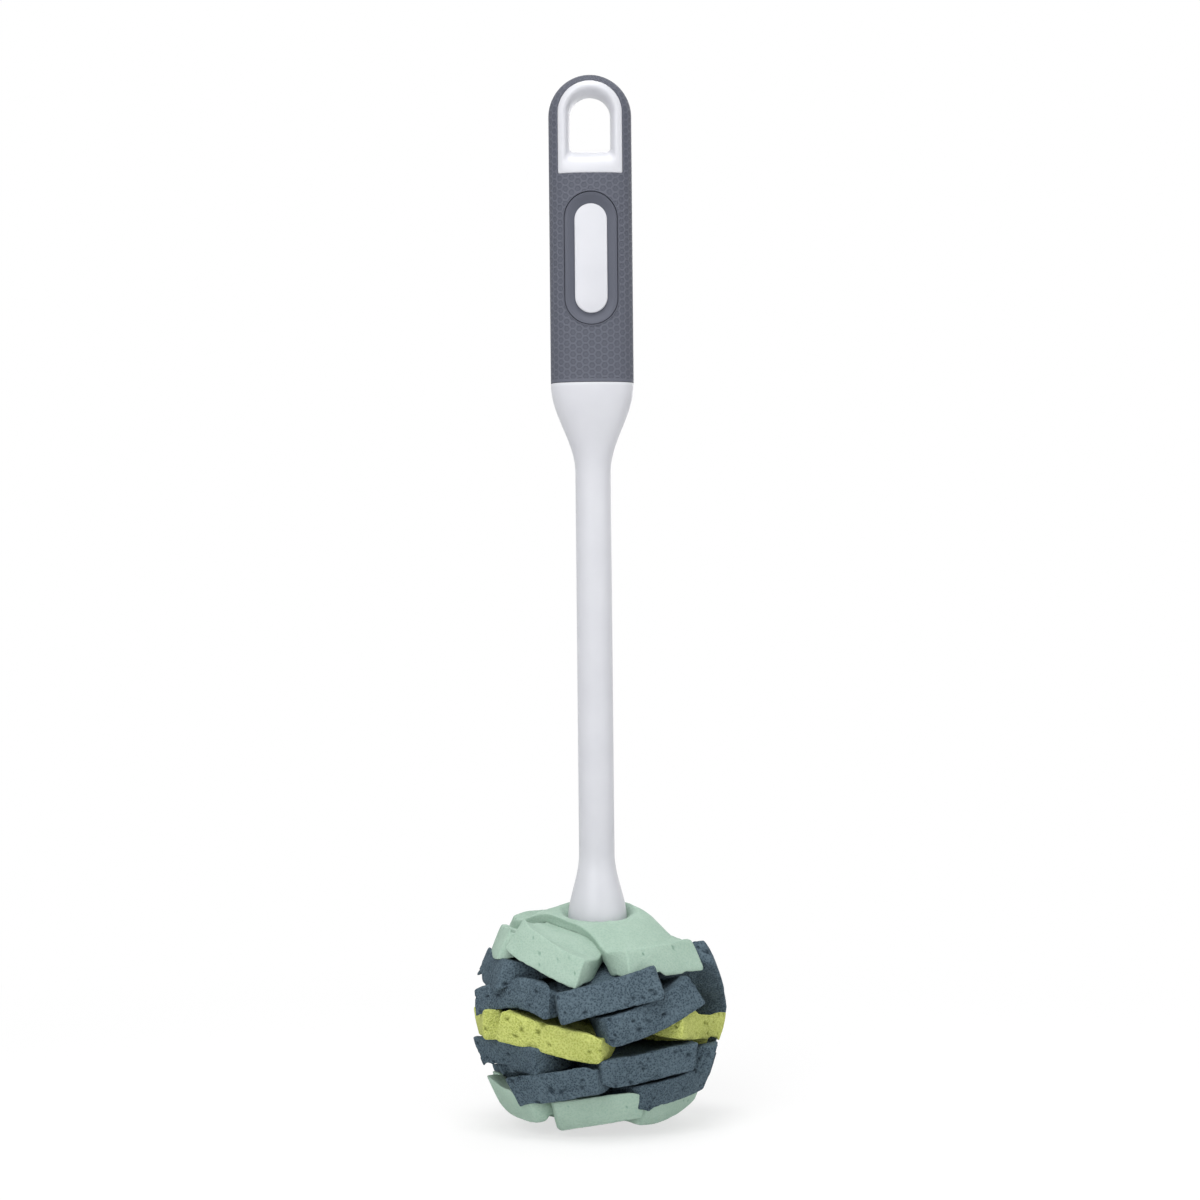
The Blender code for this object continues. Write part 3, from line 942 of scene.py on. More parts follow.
@dataclass
class HoneycombGrip:
    """The soft grip: honeycomb cells all round, and a smooth border at each window."""

    form: GripForm
    window: WindowShape
    liner: LoopLiner
    columns: int = 36
    ridge: float = 0.42 * MM
    wall_run: float = 0.22 * MM
    cell_depth: float = 0.14 * MM
    dome_run: float = 0.40 * MM
    dome_rise: float = 0.05 * MM
    margin: float = 1.1 * MM
    crown_top: float = 13.0 * MM
    crown_cover: float = 6.0 * MM
    hem_step: float = 0.15 * MM
    hem_edge: float = 0.1 * MM
    cell_weld: float = 0.05 * MM
    seam_weld: float = 0.003 * MM
    level_reach: float = 0.01 * MM
    liner_gap: float = 0.03 * MM
    cut_past: float = 2.0 * MM
    cut_floor: float = 4.0 * MM
    border_relief: float = 0.45
    crease: float = 32.0

    @property
    def cell_radius(self) -> float:
        """Corner radius of one cell, from how many fit round the grip."""
        return self.form.girth / self.columns / 1.5

    def cells(self, low: float, high: float) -> bmesh.types.BMesh:
        """Flat sheet of sunk honeycomb cells: x runs round the grip, y up and z outwards.

        Args:
            low: Lower edge of the sheet.
            high: Upper edge of the sheet.

        Returns:
            The sheet's mesh, with its relief stored on its corners.
        """
        bm = bmesh.new()
        pitch = math.sqrt(3.0) * self.cell_radius
        reach = self.columns // 2
        upright = Matrix.Rotation(math.radians(30.0), 4, "Z")
        for column in range(-reach, reach + 1):
            start = low - pitch * (0.75 if column % 2 else 0.25)
            for row in range(math.ceil((high - low) / pitch) + 2):
                place = Matrix.Translation((column * 1.5 * self.cell_radius,
                                            start + row * pitch, 0.0))
                bmesh.ops.create_circle(bm, cap_ends=True, segments=6, radius=self.cell_radius,
                                        matrix=place @ upright)
        bmesh.ops.remove_doubles(bm, verts=bm.verts, dist=self.cell_weld)
        cells = bm.faces[:]
        if cells[0].normal.z < 0.0:
            bmesh.ops.reverse_faces(bm, faces=cells)
        for run, rise in ((0.5 * self.ridge, 0.0), (self.wall_run, -self.cell_depth),
                          (self.dome_run, self.dome_rise)):
            bmesh.ops.inset_individual(bm, faces=cells, thickness=run, depth=rise,
                                       use_even_offset=True)
        for place, normal in (((0.0, low, 0.0), (0.0, -1.0, 0.0)),
                              ((0.0, high, 0.0), (0.0, 1.0, 0.0)),
                              ((-0.5 * self.form.girth, 0.0, 0.0), (-1.0, 0.0, 0.0)),
                              ((0.5 * self.form.girth, 0.0, 0.0), (1.0, 0.0, 0.0))):
            bmesh.ops.bisect_plane(bm, geom=bm.verts[:] + bm.edges[:] + bm.faces[:],
                                   dist=WELD, plane_co=place, plane_no=normal,
                                   clear_outer=True)
        return bm

    def hem(self, bm: bmesh.types.BMesh, level: float,
            steps: Sequence[tuple[float, float]]) -> None:
        """Run a smooth band on from an edge of the sheet.

        Args:
            bm: The flat sheet.
            level: Height of the edge that the band starts from.
            steps: Height and sink of each further row of the band.
        """
        edges = [edge for edge in bm.edges if edge.is_boundary
                 and all(abs(corner.co.y - level) < self.level_reach
                         for corner in edge.verts)]
        for height, sink in steps:
            grown = bmesh.ops.extrude_edge_only(bm, edges=edges)["geom"]
            edges = [item for item in grown if isinstance(item, bmesh.types.BMEdge)
                     and item.is_boundary]
            for corner in (item for item in grown if isinstance(item, bmesh.types.BMVert)):
                corner.co.y = height
                corner.co.z = -sink
            edges = [edge for edge in edges
                     if all(abs(corner.co.y - height) < WELD for corner in edge.verts)]

    def cutters(self) -> bmesh.types.BMesh:
        """Blocks for the liner and for both windows' borders.

        Returns:
            The blocks' mesh.
        """
        bm = bmesh.new()
        through = self.form.half_depth + self.cut_past
        loft(bm, [[Vector((x, y, z)) for x, z in self.liner.outer(self.liner_gap)]
                  for y in (-through, through)], closed=False)
        for near, far in ((-through, -self.cut_floor), (self.cut_floor, through)):
            loft(bm, [[Vector((x, y, z)) for x, z in self.window.outline(1.0)]
                      for y in (near, far)], closed=False)
        bmesh.ops.recalc_face_normals(bm, faces=bm.faces)
        return bm

    def build(self, finish: SoftTouchRubber) -> bpy.types.Object:
        """Model and dress the grip.

        Args:
            finish: Its rubber.

        Returns:
            The piece.
        """
        low = self.form.bottom_z + self.margin
        high = self.form.shoulder_z + self.crown_top + self.crown_cover
        bm = self.cells(low, high)
        relief = bm.verts.layers.float.new(finish.relief)
        foot = self.form.bottom_z
        self.hem(bm, low, ((low - self.hem_step, 0.0), (foot + self.hem_edge, 0.0),
                           (foot, self.hem_edge)))
        self.hem(bm, high, ((high + self.hem_step, 0.0),))
        # The relief runs from 0 in the cell floors to 1 on the ridges and carries the rubber's
        # painted shade
        for corner in bm.verts:
            corner[relief] = 1.0 + corner.co.z / self.cell_depth
            corner.co = self.form.wrapped(corner.co)
        bmesh.ops.remove_doubles(bm, verts=bm.verts, dist=self.seam_weld)
        bmesh.ops.holes_fill(bm, edges=[edge for edge in bm.edges if edge.is_boundary], sides=0)
        bmesh.ops.recalc_face_normals(bm, faces=bm.faces)
        bm = carved(bm, self.cutters())
        relief = bm.verts.layers.float[finish.relief]
        ready = set(bm.verts)
        for side in (-1.0, 1.0):
            self.window.dish(bm, self.form, side)
            self.window.lip(bm, self.form, side)
        # The smooth border and lip take a middle tone between the painted-shade cell floors and
        # the lit ridges
        for corner in bm.verts:
            if corner not in ready:
                corner[relief] = self.border_relief
        bmesh.ops.recalc_face_normals(
            bm, faces=[face for face in bm.faces if face.verts[0] not in ready])
        piece = finished("honeycomb_grip", bm, finish.material(), crease=self.crease)
        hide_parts("grip_sleeve")
        return piece


@dataclass
class RetainingPin:
    """White pin: a broad button head under the foam and a shank up into the skirt."""

    head_top_z: float
    tip_z: float
    head_radius: float = 9.8 * MM
    head_thickness: float = 3.0 * MM
    shank_radius: float = 4.0 * MM
    edge: float = 0.9 * MM
    edge_cuts: int = 6
    dimple_depth: float = 0.5 * MM
    dimple_floor: float = 1.1 * MM
    dimple_mouth: float = 1.5 * MM
    dimple_edge: float = 0.05 * MM
    turn_cuts: int = 72

    def build(self, finish: SatinPolypropylene) -> bpy.types.Object:
        """Model and dress the pin.

        Args:
            finish: Its plastic.

        Returns:
            The piece.
        """
        foot = self.head_top_z - self.head_thickness
        section = [(0.0, foot + self.dimple_depth),
                   (self.dimple_floor, foot + self.dimple_depth),
                   (self.dimple_mouth, foot + self.dimple_edge)]
        for step in range(self.edge_cuts + 1):
            turn = 0.5 * math.pi * step / self.edge_cuts
            section.append((self.head_radius - self.edge * (1.0 - math.sin(turn)),
                            foot + self.edge * (1.0 - math.cos(turn))))
        section += [(self.head_radius, self.head_top_z), (self.shank_radius, self.head_top_z),
                    (self.shank_radius, self.tip_z - MM), (self.shank_radius - MM, self.tip_z),
                    (0.0, self.tip_z)]
        bm = bmesh.new()
        corners = [bm.verts.new((radius, 0.0, z)) for radius, z in section]
        edges = [bm.edges.new(pair) for pair in zip(corners, corners[1:])]
        bmesh.ops.spin(bm, geom=corners + edges, axis=(0.0, 0.0, 1.0), cent=(0.0, 0.0, 0.0),
                       steps=self.turn_cuts, angle=math.tau, use_merge=True)
        bmesh.ops.remove_doubles(bm, verts=bm.verts, dist=WELD)
        bmesh.ops.recalc_face_normals(bm, faces=bm.faces)
        piece = finished("button_pin", bm, finish.material())
        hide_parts("retaining_pin")
        return piece


@dataclass(frozen=True)
class FreeEnd:
    """How a free end of a strip hangs, in strip thicknesses.

    Attributes:
        level: Height of its middle over the head's centre.
        tilt: How much its right corner is above its left one.
        bow: How much its middle is above its corners.
        reach: How much farther than its cut length it stands out.
        sway: How far it swings about the pin, in degrees.
    """

    level: float
    tilt: float = 0.0
    bow: float = 0.0
    reach: float = 0.0
    sway: float = 0.0


@dataclass(frozen=True)
class FoamStrip:
    """One die-cut strip on the pin.

    Attributes:
        foam: What it is cut from.
        turn: Turn about the pin in degrees from the front towards +X.
        front: How the end on the photographed side hangs.
        back: How the other end hangs.
        firm: How little it gives way where it meets other strips, from 0 to 1.
    """

    foam: Foam
    turn: float
    front: FreeEnd
    back: FreeEnd
    firm: float = 0.5


@dataclass(frozen=True)
class FoamGrain:
    """How rough a foam's cut surface is: sizes of its lumps and of its blown pores."""

    lumps: tuple[tuple[float, float], ...]
    pores_per_end: int
    pore_length: tuple[float, float]
    pore_depth: float


@dataclass
class FoamHead:
    """The ball of crossed foam strips, clamped flat at the pin and free at its rim."""

    centre_z: float
    strips: Sequence[FoamStrip]
    length: float = 80.0 * MM
    width: float = 37.0 * MM
    thickness: float = 10.2 * MM
    core_height: float = 60.4 * MM
    core_radius: float = 9.6 * MM
    swell_radius: float = 12.8 * MM
    swell_height: float = 35.0 * MM
    swell_lean: float = 0.5
    fan_radius: float = 33.0 * MM
    rim_height: float = 33.0 * MM
    waist: float = 0.16
    waist_radius: float = 24.0 * MM
    draw_in: float = 0.30
    draw_power: float = 1.5
    edge_radius: float = 0.8 * MM
    most_give: float = 1.6 * MM
    edge_give: float = 7.0 * MM
    fine_pitch: float = 0.75 * MM
    coarse_pitch: float = 2.4 * MM
    fine_from: float = 22.0 * MM
    pore_shares: tuple[float, float, float] = (1.0, 1.2, 1.0)
    pore_narrow: tuple[float, float] = (0.35, 0.9)
    pore_turn: float = 0.6
    pore_power: float = 0.7
    face_reach: float = 0.6 * MM
    slope_probe: float = 0.5 * MM
    least_share: float = 0.25
    crease: float = 70.0
    seed: int = 11

    def stations(self, half: float, fine_from: float) -> list[float]:
        """Places of the lattice's cuts on one side of the middle.

        Args:
            half: Half of the strip's size in this direction.
            fine_from: Where the cuts become close.

        Returns:
            The places, without the strip's own edge.
        """
        places = [0.0]
        while places[-1] < half:
            pitch = self.coarse_pitch if places[-1] < fine_from else self.fine_pitch
            places.append(places[-1] + pitch)
        return [place for place in places if place < half - 0.2 * self.fine_pitch]

    def blank(self) -> bmesh.types.BMesh:
        """Flat blank of a strip in a close lattice: x along it, y across, z through it.

        Returns:
            The blank's mesh.
        """
        bm = bmesh.new()
        bmesh.ops.create_cube(bm, size=1.0)
        size = Vector((self.length, self.width, self.thickness))
        bmesh.ops.scale(bm, vec=size, verts=bm.verts)
        for axis, fine_from in enumerate((self.fine_from, 0.0, 0.0)):
            normal = Vector((0.0, 0.0, 0.0))
            normal[axis] = 1.0
            half = self.stations(0.5 * size[axis], fine_from)
            for place in sorted({-place for place in half} | set(half)):
                bmesh.ops.bisect_plane(bm, geom=bm.verts[:] + bm.edges[:] + bm.faces[:],
                                       dist=WELD, plane_co=normal * place,
                                       plane_no=normal)
        return bm

    def softened(self, flat: np.ndarray) -> np.ndarray:
        """Round all edges of the blank.

        Args:
            flat: Places of its corners.

        Returns:
            The rounded places.
        """
        half = 0.5 * np.array((self.length, self.width, self.thickness)) - self.edge_radius
        core = np.clip(flat, -half, half)
        out = flat - core
        reach = np.maximum(np.linalg.norm(out, axis=1, keepdims=True), TINY)
        return np.where(np.abs(out).max(axis=1, keepdims=True) > 0.0,
                        core + out / reach * np.minimum(reach, self.edge_radius), flat)

    def pored(self, flat: np.ndarray, grain: FoamGrain,
              chance: random.Random) -> tuple[np.ndarray, np.ndarray]:
        """Press blown pores into the cut faces that can be seen.

        Args:
            flat: Places of the blank's corners.
            grain: The foam's grain.
            chance: Seeded source of random numbers.

        Returns:
            The new places, and how deep in a pore each corner is, from 0 to 1.
        """
        half = 0.5 * np.array((self.length, self.width, self.thickness))
        deep = np.zeros(len(flat))
        moved = flat.copy()
        for axis, share in enumerate(self.pore_shares):
            others = [index for index in range(3) if index != axis]
            for side in (-1.0, 1.0):
                on_face = np.abs(flat[:, axis] - side * half[axis]) < self.face_reach
                for _ in range(2 * round(grain.pores_per_end * share)):
                    centre = [chance.uniform(-1.0, 1.0) * half[index] for index in others]
                    if axis > 0 and abs(centre[0]) < self.fine_from:
                        continue
                    long = chance.uniform(*grain.pore_length) * 0.5
                    wide = long * chance.uniform(*self.pore_narrow)
                    turn = chance.uniform(-self.pore_turn, self.pore_turn)
                    x = flat[:, others[0]] - centre[0]
                    y = flat[:, others[1]] - centre[1]
                    along = (x * math.cos(turn) + y * math.sin(turn)) / long
                    across = (y * math.cos(turn) - x * math.sin(turn)) / wide
                    hollow = (np.clip(1.0 - along ** 2 - across ** 2, 0.0, 1.0)
                              ** self.pore_power * on_face)
                    moved[:, axis] -= side * grain.pore_depth * hollow
                    deep = np.maximum(deep, hollow)
        return moved, deep

    def rough(self, flat: np.ndarray, grain: FoamGrain, offset: Vector) -> np.ndarray:
        """Uneven the surface with lumps of several sizes.

        Args:
            flat: Places of the corners.
            grain: The foam's grain.
            offset: Where in the noise this strip lies.

        Returns:
            The new places.
        """
        shift = np.zeros_like(flat)
        for size, height in grain.lumps:
            shift += height * np.array([noise.noise_vector(Vector(point) / size + offset)
                                        for point in flat])
        return flat + shift

    def fan(self, radius: np.ndarray) -> np.ndarray:
        """How free a strip is, from 0 where it is clamped to 1 at the rim.

        Args:
            radius: Distances from the pin's axis.

        Returns:
            The shares.
        """
        share = np.clip((radius - self.swell_radius) / (self.fan_radius - self.swell_radius),
                        0.0, 1.0)
        return 0.5 - 0.5 * np.cos(math.pi * share)

    def half_stack(self, plan: np.ndarray) -> np.ndarray:
        """Half height of the clamped stack, which swells past the skirt, most at the back.

        Args:
            plan: Points seen from above.

        Returns:
            The half heights.
        """
        core = 0.5 * self.core_height
        radius = np.maximum(np.linalg.norm(plan, axis=1), MM)
        share = np.clip((radius - self.core_radius) / (self.swell_radius - self.core_radius),
                        0.0, 1.0)
        lean = 1.0 + self.swell_lean * plan[:, 1] / radius
        return core + (self.swell_height - core) * share * lean

    def middle(self, plan: np.ndarray, place: int) -> tuple[np.ndarray, np.ndarray]:
        """Heights of a strip's middle over the head's centre.

        Args:
            plan: Points seen from above.
            place: The strip's place in the stack, counted from the bottom.

        Returns:
            The heights, and how far inside the strip's outline each point is.
        """
        strip = self.strips[place]
        radius = np.linalg.norm(plan, axis=1)
        turn = math.radians(strip.turn)
        front = plan @ np.array((math.sin(turn), -math.cos(turn))) > 0.0
        angle = turn + (np.radians(np.where(front, strip.front.sway, strip.back.sway))
                        * self.fan(radius))
        along = plan[:, 0] * np.sin(angle) - plan[:, 1] * np.cos(angle)
        across = plan[:, 0] * np.cos(angle) + plan[:, 1] * np.sin(angle)
        right = np.clip(np.where(along > 0.0, across, -across) / self.width, -0.5, 0.5)
        level, tilt, bow = (np.where(along > 0.0, front, back) for front, back in
                            ((strip.front.level, strip.back.level),
                             (strip.front.tilt, strip.back.tilt),
                             (strip.front.bow, strip.back.bow)))
        free = self.thickness * (level + tilt * right + bow * (1.0 - 4.0 * right ** 2))
        packed = (self.half_stack(plan)
                  * (2.0 * (place + 0.5) / len(self.strips) - 1.0))
        inside = np.minimum(0.5 * self.length - np.abs(along),
                            0.5 * self.width - np.abs(across))
        return packed + (free - packed) * self.fan(radius), inside

    def give(self, plan: np.ndarray, height: np.ndarray, half: np.ndarray,
             place: int) -> tuple[np.ndarray, np.ndarray]:
        """How far a strip's two sides are pressed in by the strips over and under it.

        Args:
            plan: Points seen from above.
            height: Heights of the strip's middle there.
            half: Half of its free thickness there.
            place: Its place in the stack.

        Returns:
            The give of its lower side and of its upper side.
        """
        gives = [np.zeros(len(plan)), np.zeros(len(plan))]
        soft = 1.0 - self.strips[place].firm
        for other, strip in enumerate(self.strips):
            if other == place:
                continue
            level, inside = self.middle(plan, other)
            over = other > place
            apart = (level - height) * (1.0 if over else -1.0)
            sure = np.clip(inside / self.edge_give + 0.5, 0.0, 1.0)
            press = np.where(apart > -half, np.clip(2.0 * half - apart, 0.0, None), 0.0)
            press *= sure * sure * (3.0 - 2.0 * sure)
            press *= soft / (soft + 1.0 - strip.firm)
            gives[over] = np.maximum(gives[over], np.minimum(press, self.most_give))
        return gives[0], gives[1]

    def placed(self, flat: np.ndarray, place: int) -> np.ndarray:
        """Bend a flat strip to where it lies in the head.

        Args:
            flat: Places of the corners in the flat strip.
            place: Its place in the stack, counted from the bottom.

        Returns:
            The places in the head.
        """
        strip = self.strips[place]
        outward = np.sign(flat[:, 0])
        radius = np.linalg.norm(flat[:, :2], axis=1)
        fan = self.fan(radius)
        angle = np.radians(strip.turn + fan * np.where(outward > 0.0, strip.front.sway,
                                                       strip.back.sway))
        along = np.column_stack((np.sin(angle), -np.cos(angle)))
        across = np.column_stack((np.cos(angle), np.sin(angle)))
        rise = (self.thickness / self.width
                * np.where(outward > 0.0, strip.front.tilt, strip.back.tilt))
        narrow = 1.0 + fan * (1.0 / np.sqrt(1.0 + rise ** 2) - 1.0)
        narrow -= self.waist * (0.5 + 0.5 * np.cos(math.pi * np.clip(
            (radius - self.waist_radius) / (0.5 * self.length - self.waist_radius), 0.0, 1.0)))
        plan = flat[:, :1] * along + flat[:, 1:2] * narrow[:, None] * across

        layers = len(self.strips) * 4.0 * np.arcsin(np.minimum(
            1.0, 0.5 * self.width / np.maximum(radius, MM))) / math.tau
        room = 2.0 * self.rim_height / (self.thickness * layers)
        clamped = 2.0 * self.half_stack(plan) / (self.thickness * len(self.strips))
        part = np.clip(np.maximum(room, clamped), 0.0, 1.0)
        half = 0.5 * self.thickness * part

        probe = self.slope_probe
        height = self.middle(plan, place)[0]
        slopes = np.column_stack([
            (self.middle(plan + step, place)[0] - self.middle(plan - step, place)[0])
            / (2.0 * probe) for step in (np.array((probe, 0.0)), np.array((0.0, probe)))])
        steep = np.sqrt(1.0 + (slopes ** 2).sum(axis=1))
        down, up = self.give(plan, height, half, place)
        least = self.least_share * half
        free = np.where(flat[:, 2] > 0.0, np.maximum(half - up, least),
                        np.maximum(half - down, least))
        depth = flat[:, 2] * part * free / half
        lean = (fan * depth / steep)[:, None]
        height = height + depth * ((1.0 - fan) + fan / steep)
        corner = math.hypot(0.5 * self.length, 0.5 * self.width)
        pull = (self.draw_in * (np.abs(height) / self.rim_height) ** self.draw_power
                * (radius / corner) ** 2)
        reach = np.where(outward > 0.0, strip.front.reach, strip.back.reach)
        plan = ((plan - slopes * lean) * (1.0 - pull)[:, None]
                + along * (reach * self.thickness * fan * outward)[:, None])
        return np.column_stack((plan, self.centre_z + height))

    def build(self, materials: dict[Foam, bpy.types.Material],
              grains: dict[Foam, FoamGrain]) -> list[bpy.types.Object]:
        """Model and dress all strips, numbered from the top for each foam.

        Args:
            materials: Finish of each foam.
            grains: Grain of each foam.

        Returns:
            The pieces.
        """
        # The lumps have a seed as the pores do, so each strip is the same every time
        noise.seed_set(self.seed)
        blank = self.blank()
        base = np.array([corner.co[:] for corner in blank.verts])
        numbers = {foam: 0 for foam in Foam}
        pieces = []
        for place in reversed(range(len(self.strips))):
            strip = self.strips[place]
            numbers[strip.foam] += 1
            chance = random.Random(self.seed + place)
            offset = Vector([chance.uniform(0.0, 100.0) for _ in range(3)])
            grain = grains[strip.foam]
            flat, deep = self.pored(self.softened(base), grain, chance)
            spots = self.placed(self.rough(flat, grain, offset), place)
            bm = blank.copy()
            # The pore attribute is how deep in a blown pore each corner is; the foam colour
            # uses it for painted shade in the pores
            pore = bm.verts.layers.float.new("pore")
            for corner, spot, hollow in zip(bm.verts, spots, deep):
                corner.co = spot
                corner[pore] = hollow
            bmesh.ops.recalc_face_normals(bm, faces=bm.faces)
            node = f"{strip.foam.value}_foam_{numbers[strip.foam]}"
            piece = finished(f"cut_{node}", bm, materials[strip.foam], crease=self.crease)
            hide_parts(node)
            pieces.append(piece)
        blank.free()
        return pieces


@dataclass(frozen=True)
class SoftLamp:
    """A square soft lamp, its place from the brush's middle and its power in watts."""

    name: str
    place: tuple[float, float, float]
    size: float
    power: float


@dataclass
class Studio:
    """White room with soft lamps, a paper floor and the photograph's camera."""

    floor_z: float
    centre_z: float
    camera_distance: float = 0.960
    field_width: float = 405.6 * MM
    aim_x: float = 1.9 * MM
    roll: float = -0.55
    ambient: float = 0.50
    floor_size: float = 3.0
    lamps: tuple[SoftLamp, ...] = (
        SoftLamp("key_lamp", (-0.45, -1.10, 0.60), size=0.8, power=7.6),
        SoftLamp("fill_lamp", (0.90, -0.90, 0.15), size=0.9, power=3.0),
        SoftLamp("top_lamp", (0.0, -0.30, 0.95), size=0.5, power=6.0),
        SoftLamp("back_lamp", (0.35, 1.10, 0.45), size=0.9, power=4.0))

    def floor(self, finish: StudioPaper) -> None:
        """Lay the paper that the brush stands on.

        Args:
            finish: Its paper.
        """
        bm = bmesh.new()
        bmesh.ops.create_grid(bm, x_segments=2, y_segments=2, size=0.5 * self.floor_size)
        bmesh.ops.translate(bm, vec=(0.0, 0.0, self.floor_z), verts=bm.verts)
        paper = finished("studio_floor", bm, finish.material())
        paper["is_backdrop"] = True

    def room(self) -> None:
        """Fill the room with even light and show it as plain white."""
        world = bpy.data.worlds.new("white_room")
        world.use_nodes = True
        tree = world.node_tree
        tree.nodes.clear()
        light, shown = (add_node(tree, "ShaderNodeBackground",
                                 {"Color": linear("#FFFFFF"), "Strength": strength})
                        for strength in (self.ambient, 1.0))
        both = add_node(tree, "ShaderNodeMixShader", {0: seen_share(tree),
                                                      1: light.outputs["Background"],
                                                      2: shown.outputs["Background"]})
        add_node(tree, "ShaderNodeOutputWorld", {"Surface": both.outputs["Shader"]})
        bpy.context.scene.world = world

    def hang(self, lamp: SoftLamp) -> None:
        """Hang a lamp that faces the brush.

        Args:
            lamp: The lamp.
        """
        data = bpy.data.lights.new(lamp.name, "AREA")
        data.shape = "SQUARE"
        data.size = lamp.size
        data.energy = lamp.power
        hung = bpy.data.objects.new(lamp.name, data)
        place = Vector(lamp.place)
        hung.location = Vector((0.0, 0.0, self.centre_z)) + place
        hung.rotation_euler = (-place).to_track_quat("-Z", "Y").to_euler()
        bpy.context.scene.collection.objects.link(hung)

    def camera(self) -> None:
        """Set up the camera level with the middle of the brush, as in the photograph."""
        data = bpy.data.cameras.new("photo_camera")
        data.sensor_width = 36.0
        data.lens = data.sensor_width * self.camera_distance / self.field_width
        camera = bpy.data.objects.new("photo_camera", data)
        camera.location = (self.aim_x, -self.camera_distance, self.centre_z)
        camera.rotation_euler = (Matrix.Rotation(math.radians(90.0), 3, "X")
                                 @ Matrix.Rotation(math.radians(self.roll), 3, "Z")).to_euler()
        bpy.context.scene.collection.objects.link(camera)
        bpy.context.scene.camera = camera

    def build(self) -> None:
        """Light the room, lay the floor and set up the camera."""
        self.room()
        self.floor(StudioPaper())
        for lamp in self.lamps:
            self.hang(lamp)
        self.camera()


# Bottom to top. The front ends hang as in the photograph, the back ends lie in the room left
STRIPS = (
    FoamStrip(Foam.MINT, 55.0, FreeEnd(-2.55, 0.42, -0.10, -0.15), FreeEnd(-2.60, 0.30, -0.15)),
    FoamStrip(Foam.MINT, 0.0, FreeEnd(-2.70, 0.42, 0.0, -0.15), FreeEnd(-2.75, 0.40), 0.6),
    FoamStrip(Foam.MINT, -55.0, FreeEnd(-2.55, -0.18, -0.10, 0.06, -9.0),
              FreeEnd(-2.50, -0.11, -0.20)),
    FoamStrip(Foam.SLATE, 50.0, FreeEnd(-2.14, 0.40, 0.0, 0.05),
              FreeEnd(-2.15, -0.23, -0.16), 0.7),
    FoamStrip(Foam.SLATE, -20.0, FreeEnd(-1.84, 0.66, 0.0, 0.24, -4.0),
              FreeEnd(-1.89, 0.40), 0.9),
    FoamStrip(Foam.SLATE, -80.0, FreeEnd(-1.20, 0.27, -0.10, -0.45),
              FreeEnd(-1.55, 0.11, -0.30), 0.3),
    FoamStrip(Foam.SLATE, 83.0, FreeEnd(-1.24, 0.10, 0.0, 0.15, 5.0),
              FreeEnd(-1.34, 0.0, 0.20, -0.4), 0.5),
    FoamStrip(Foam.SLATE, 23.0, FreeEnd(-1.19, 0.36, -0.04, 0.05, 3.0),
              FreeEnd(-0.91, 0.31, 0.08), 0.9),
    FoamStrip(Foam.SLATE, -46.0, FreeEnd(-1.10, 0.05, 0.10, 0.0, -9.0),
              FreeEnd(-0.73, 0.42, -0.21), 0.7),
    FoamStrip(Foam.LIME, -75.0, FreeEnd(-0.17, 0.35, 0.0, 0.05, -8.0),
              FreeEnd(-0.55, 0.40, 0.12, -0.5), 0.4),
    FoamStrip(Foam.LIME, -21.0, FreeEnd(-0.23, -0.64, -0.08, 0.10, -2.0),
              FreeEnd(-0.04, -0.24, 0.16), 0.9),
    FoamStrip(Foam.LIME, 57.0, FreeEnd(-0.16, -0.62, 0.0, -0.10, 8.0),
              FreeEnd(0.11, 0.0, -0.18, -0.5), 0.4),
    FoamStrip(Foam.SLATE, 85.0, FreeEnd(0.28, -0.20, -0.10, -0.9),
              FreeEnd(0.36, -0.42, 0.18, -0.6), 0.3),
    FoamStrip(Foam.SLATE, 27.0, FreeEnd(0.57, 1.24, -0.12, 0.26, 0.0),
              FreeEnd(0.75, 0.41, 0.13), 0.95),
    FoamStrip(Foam.SLATE, -43.0, FreeEnd(0.68, 0.30, 0.38, 0.05, -4.0),
              FreeEnd(0.67, 0.65, 0.12), 0.7),
    FoamStrip(Foam.SLATE, 64.0, FreeEnd(1.10, -3.00, 0.0, 0.36, 27.0),
              FreeEnd(1.32, -0.58, 0.0, -1.0), 0.5),
    FoamStrip(Foam.SLATE, 5.0, FreeEnd(1.15, 0.85, 0.0, 0.38, 1.0), FreeEnd(1.74, 0.38), 0.95),
    FoamStrip(Foam.SLATE, -65.0, FreeEnd(1.62, -0.10, 0.0, 0.12, -12.0),
              FreeEnd(1.55, 0.50, -0.25, -0.6), 0.4),
    FoamStrip(Foam.MINT, -85.0, FreeEnd(2.48, 0.18, 0.0, 0.10),
              FreeEnd(2.05, 0.30, 0.08, -1.5), 0.4),
    FoamStrip(Foam.MINT, -31.0, FreeEnd(2.33, -1.20, 0.0, 0.1, -1.0),
              FreeEnd(1.95, 0.45, 0.10, -0.3), 0.7),
    FoamStrip(Foam.MINT, 40.0, FreeEnd(2.03, 0.10, 0.05, -0.05, 1.0),
              FreeEnd(2.60, 0.08, 0.13), 0.3),
)

# Fine foam has small lumps and few, small pores; coarse foam is torn and widely pored
FINE_GRAIN = FoamGrain(lumps=((14.0 * MM, 0.55 * MM), (2.4 * MM, 0.12 * MM),
                              (1.1 * MM, 0.07 * MM)),
                       pores_per_end=3, pore_length=(0.8 * MM, 1.4 * MM), pore_depth=0.35 * MM)
COARSE_GRAIN = FoamGrain(lumps=((14.0 * MM, 0.50 * MM), (2.4 * MM, 0.14 * MM),
                                (1.2 * MM, 0.12 * MM)),
                         pores_per_end=5, pore_length=(1.1 * MM, 2.6 * MM),
                         pore_depth=0.75 * MM)
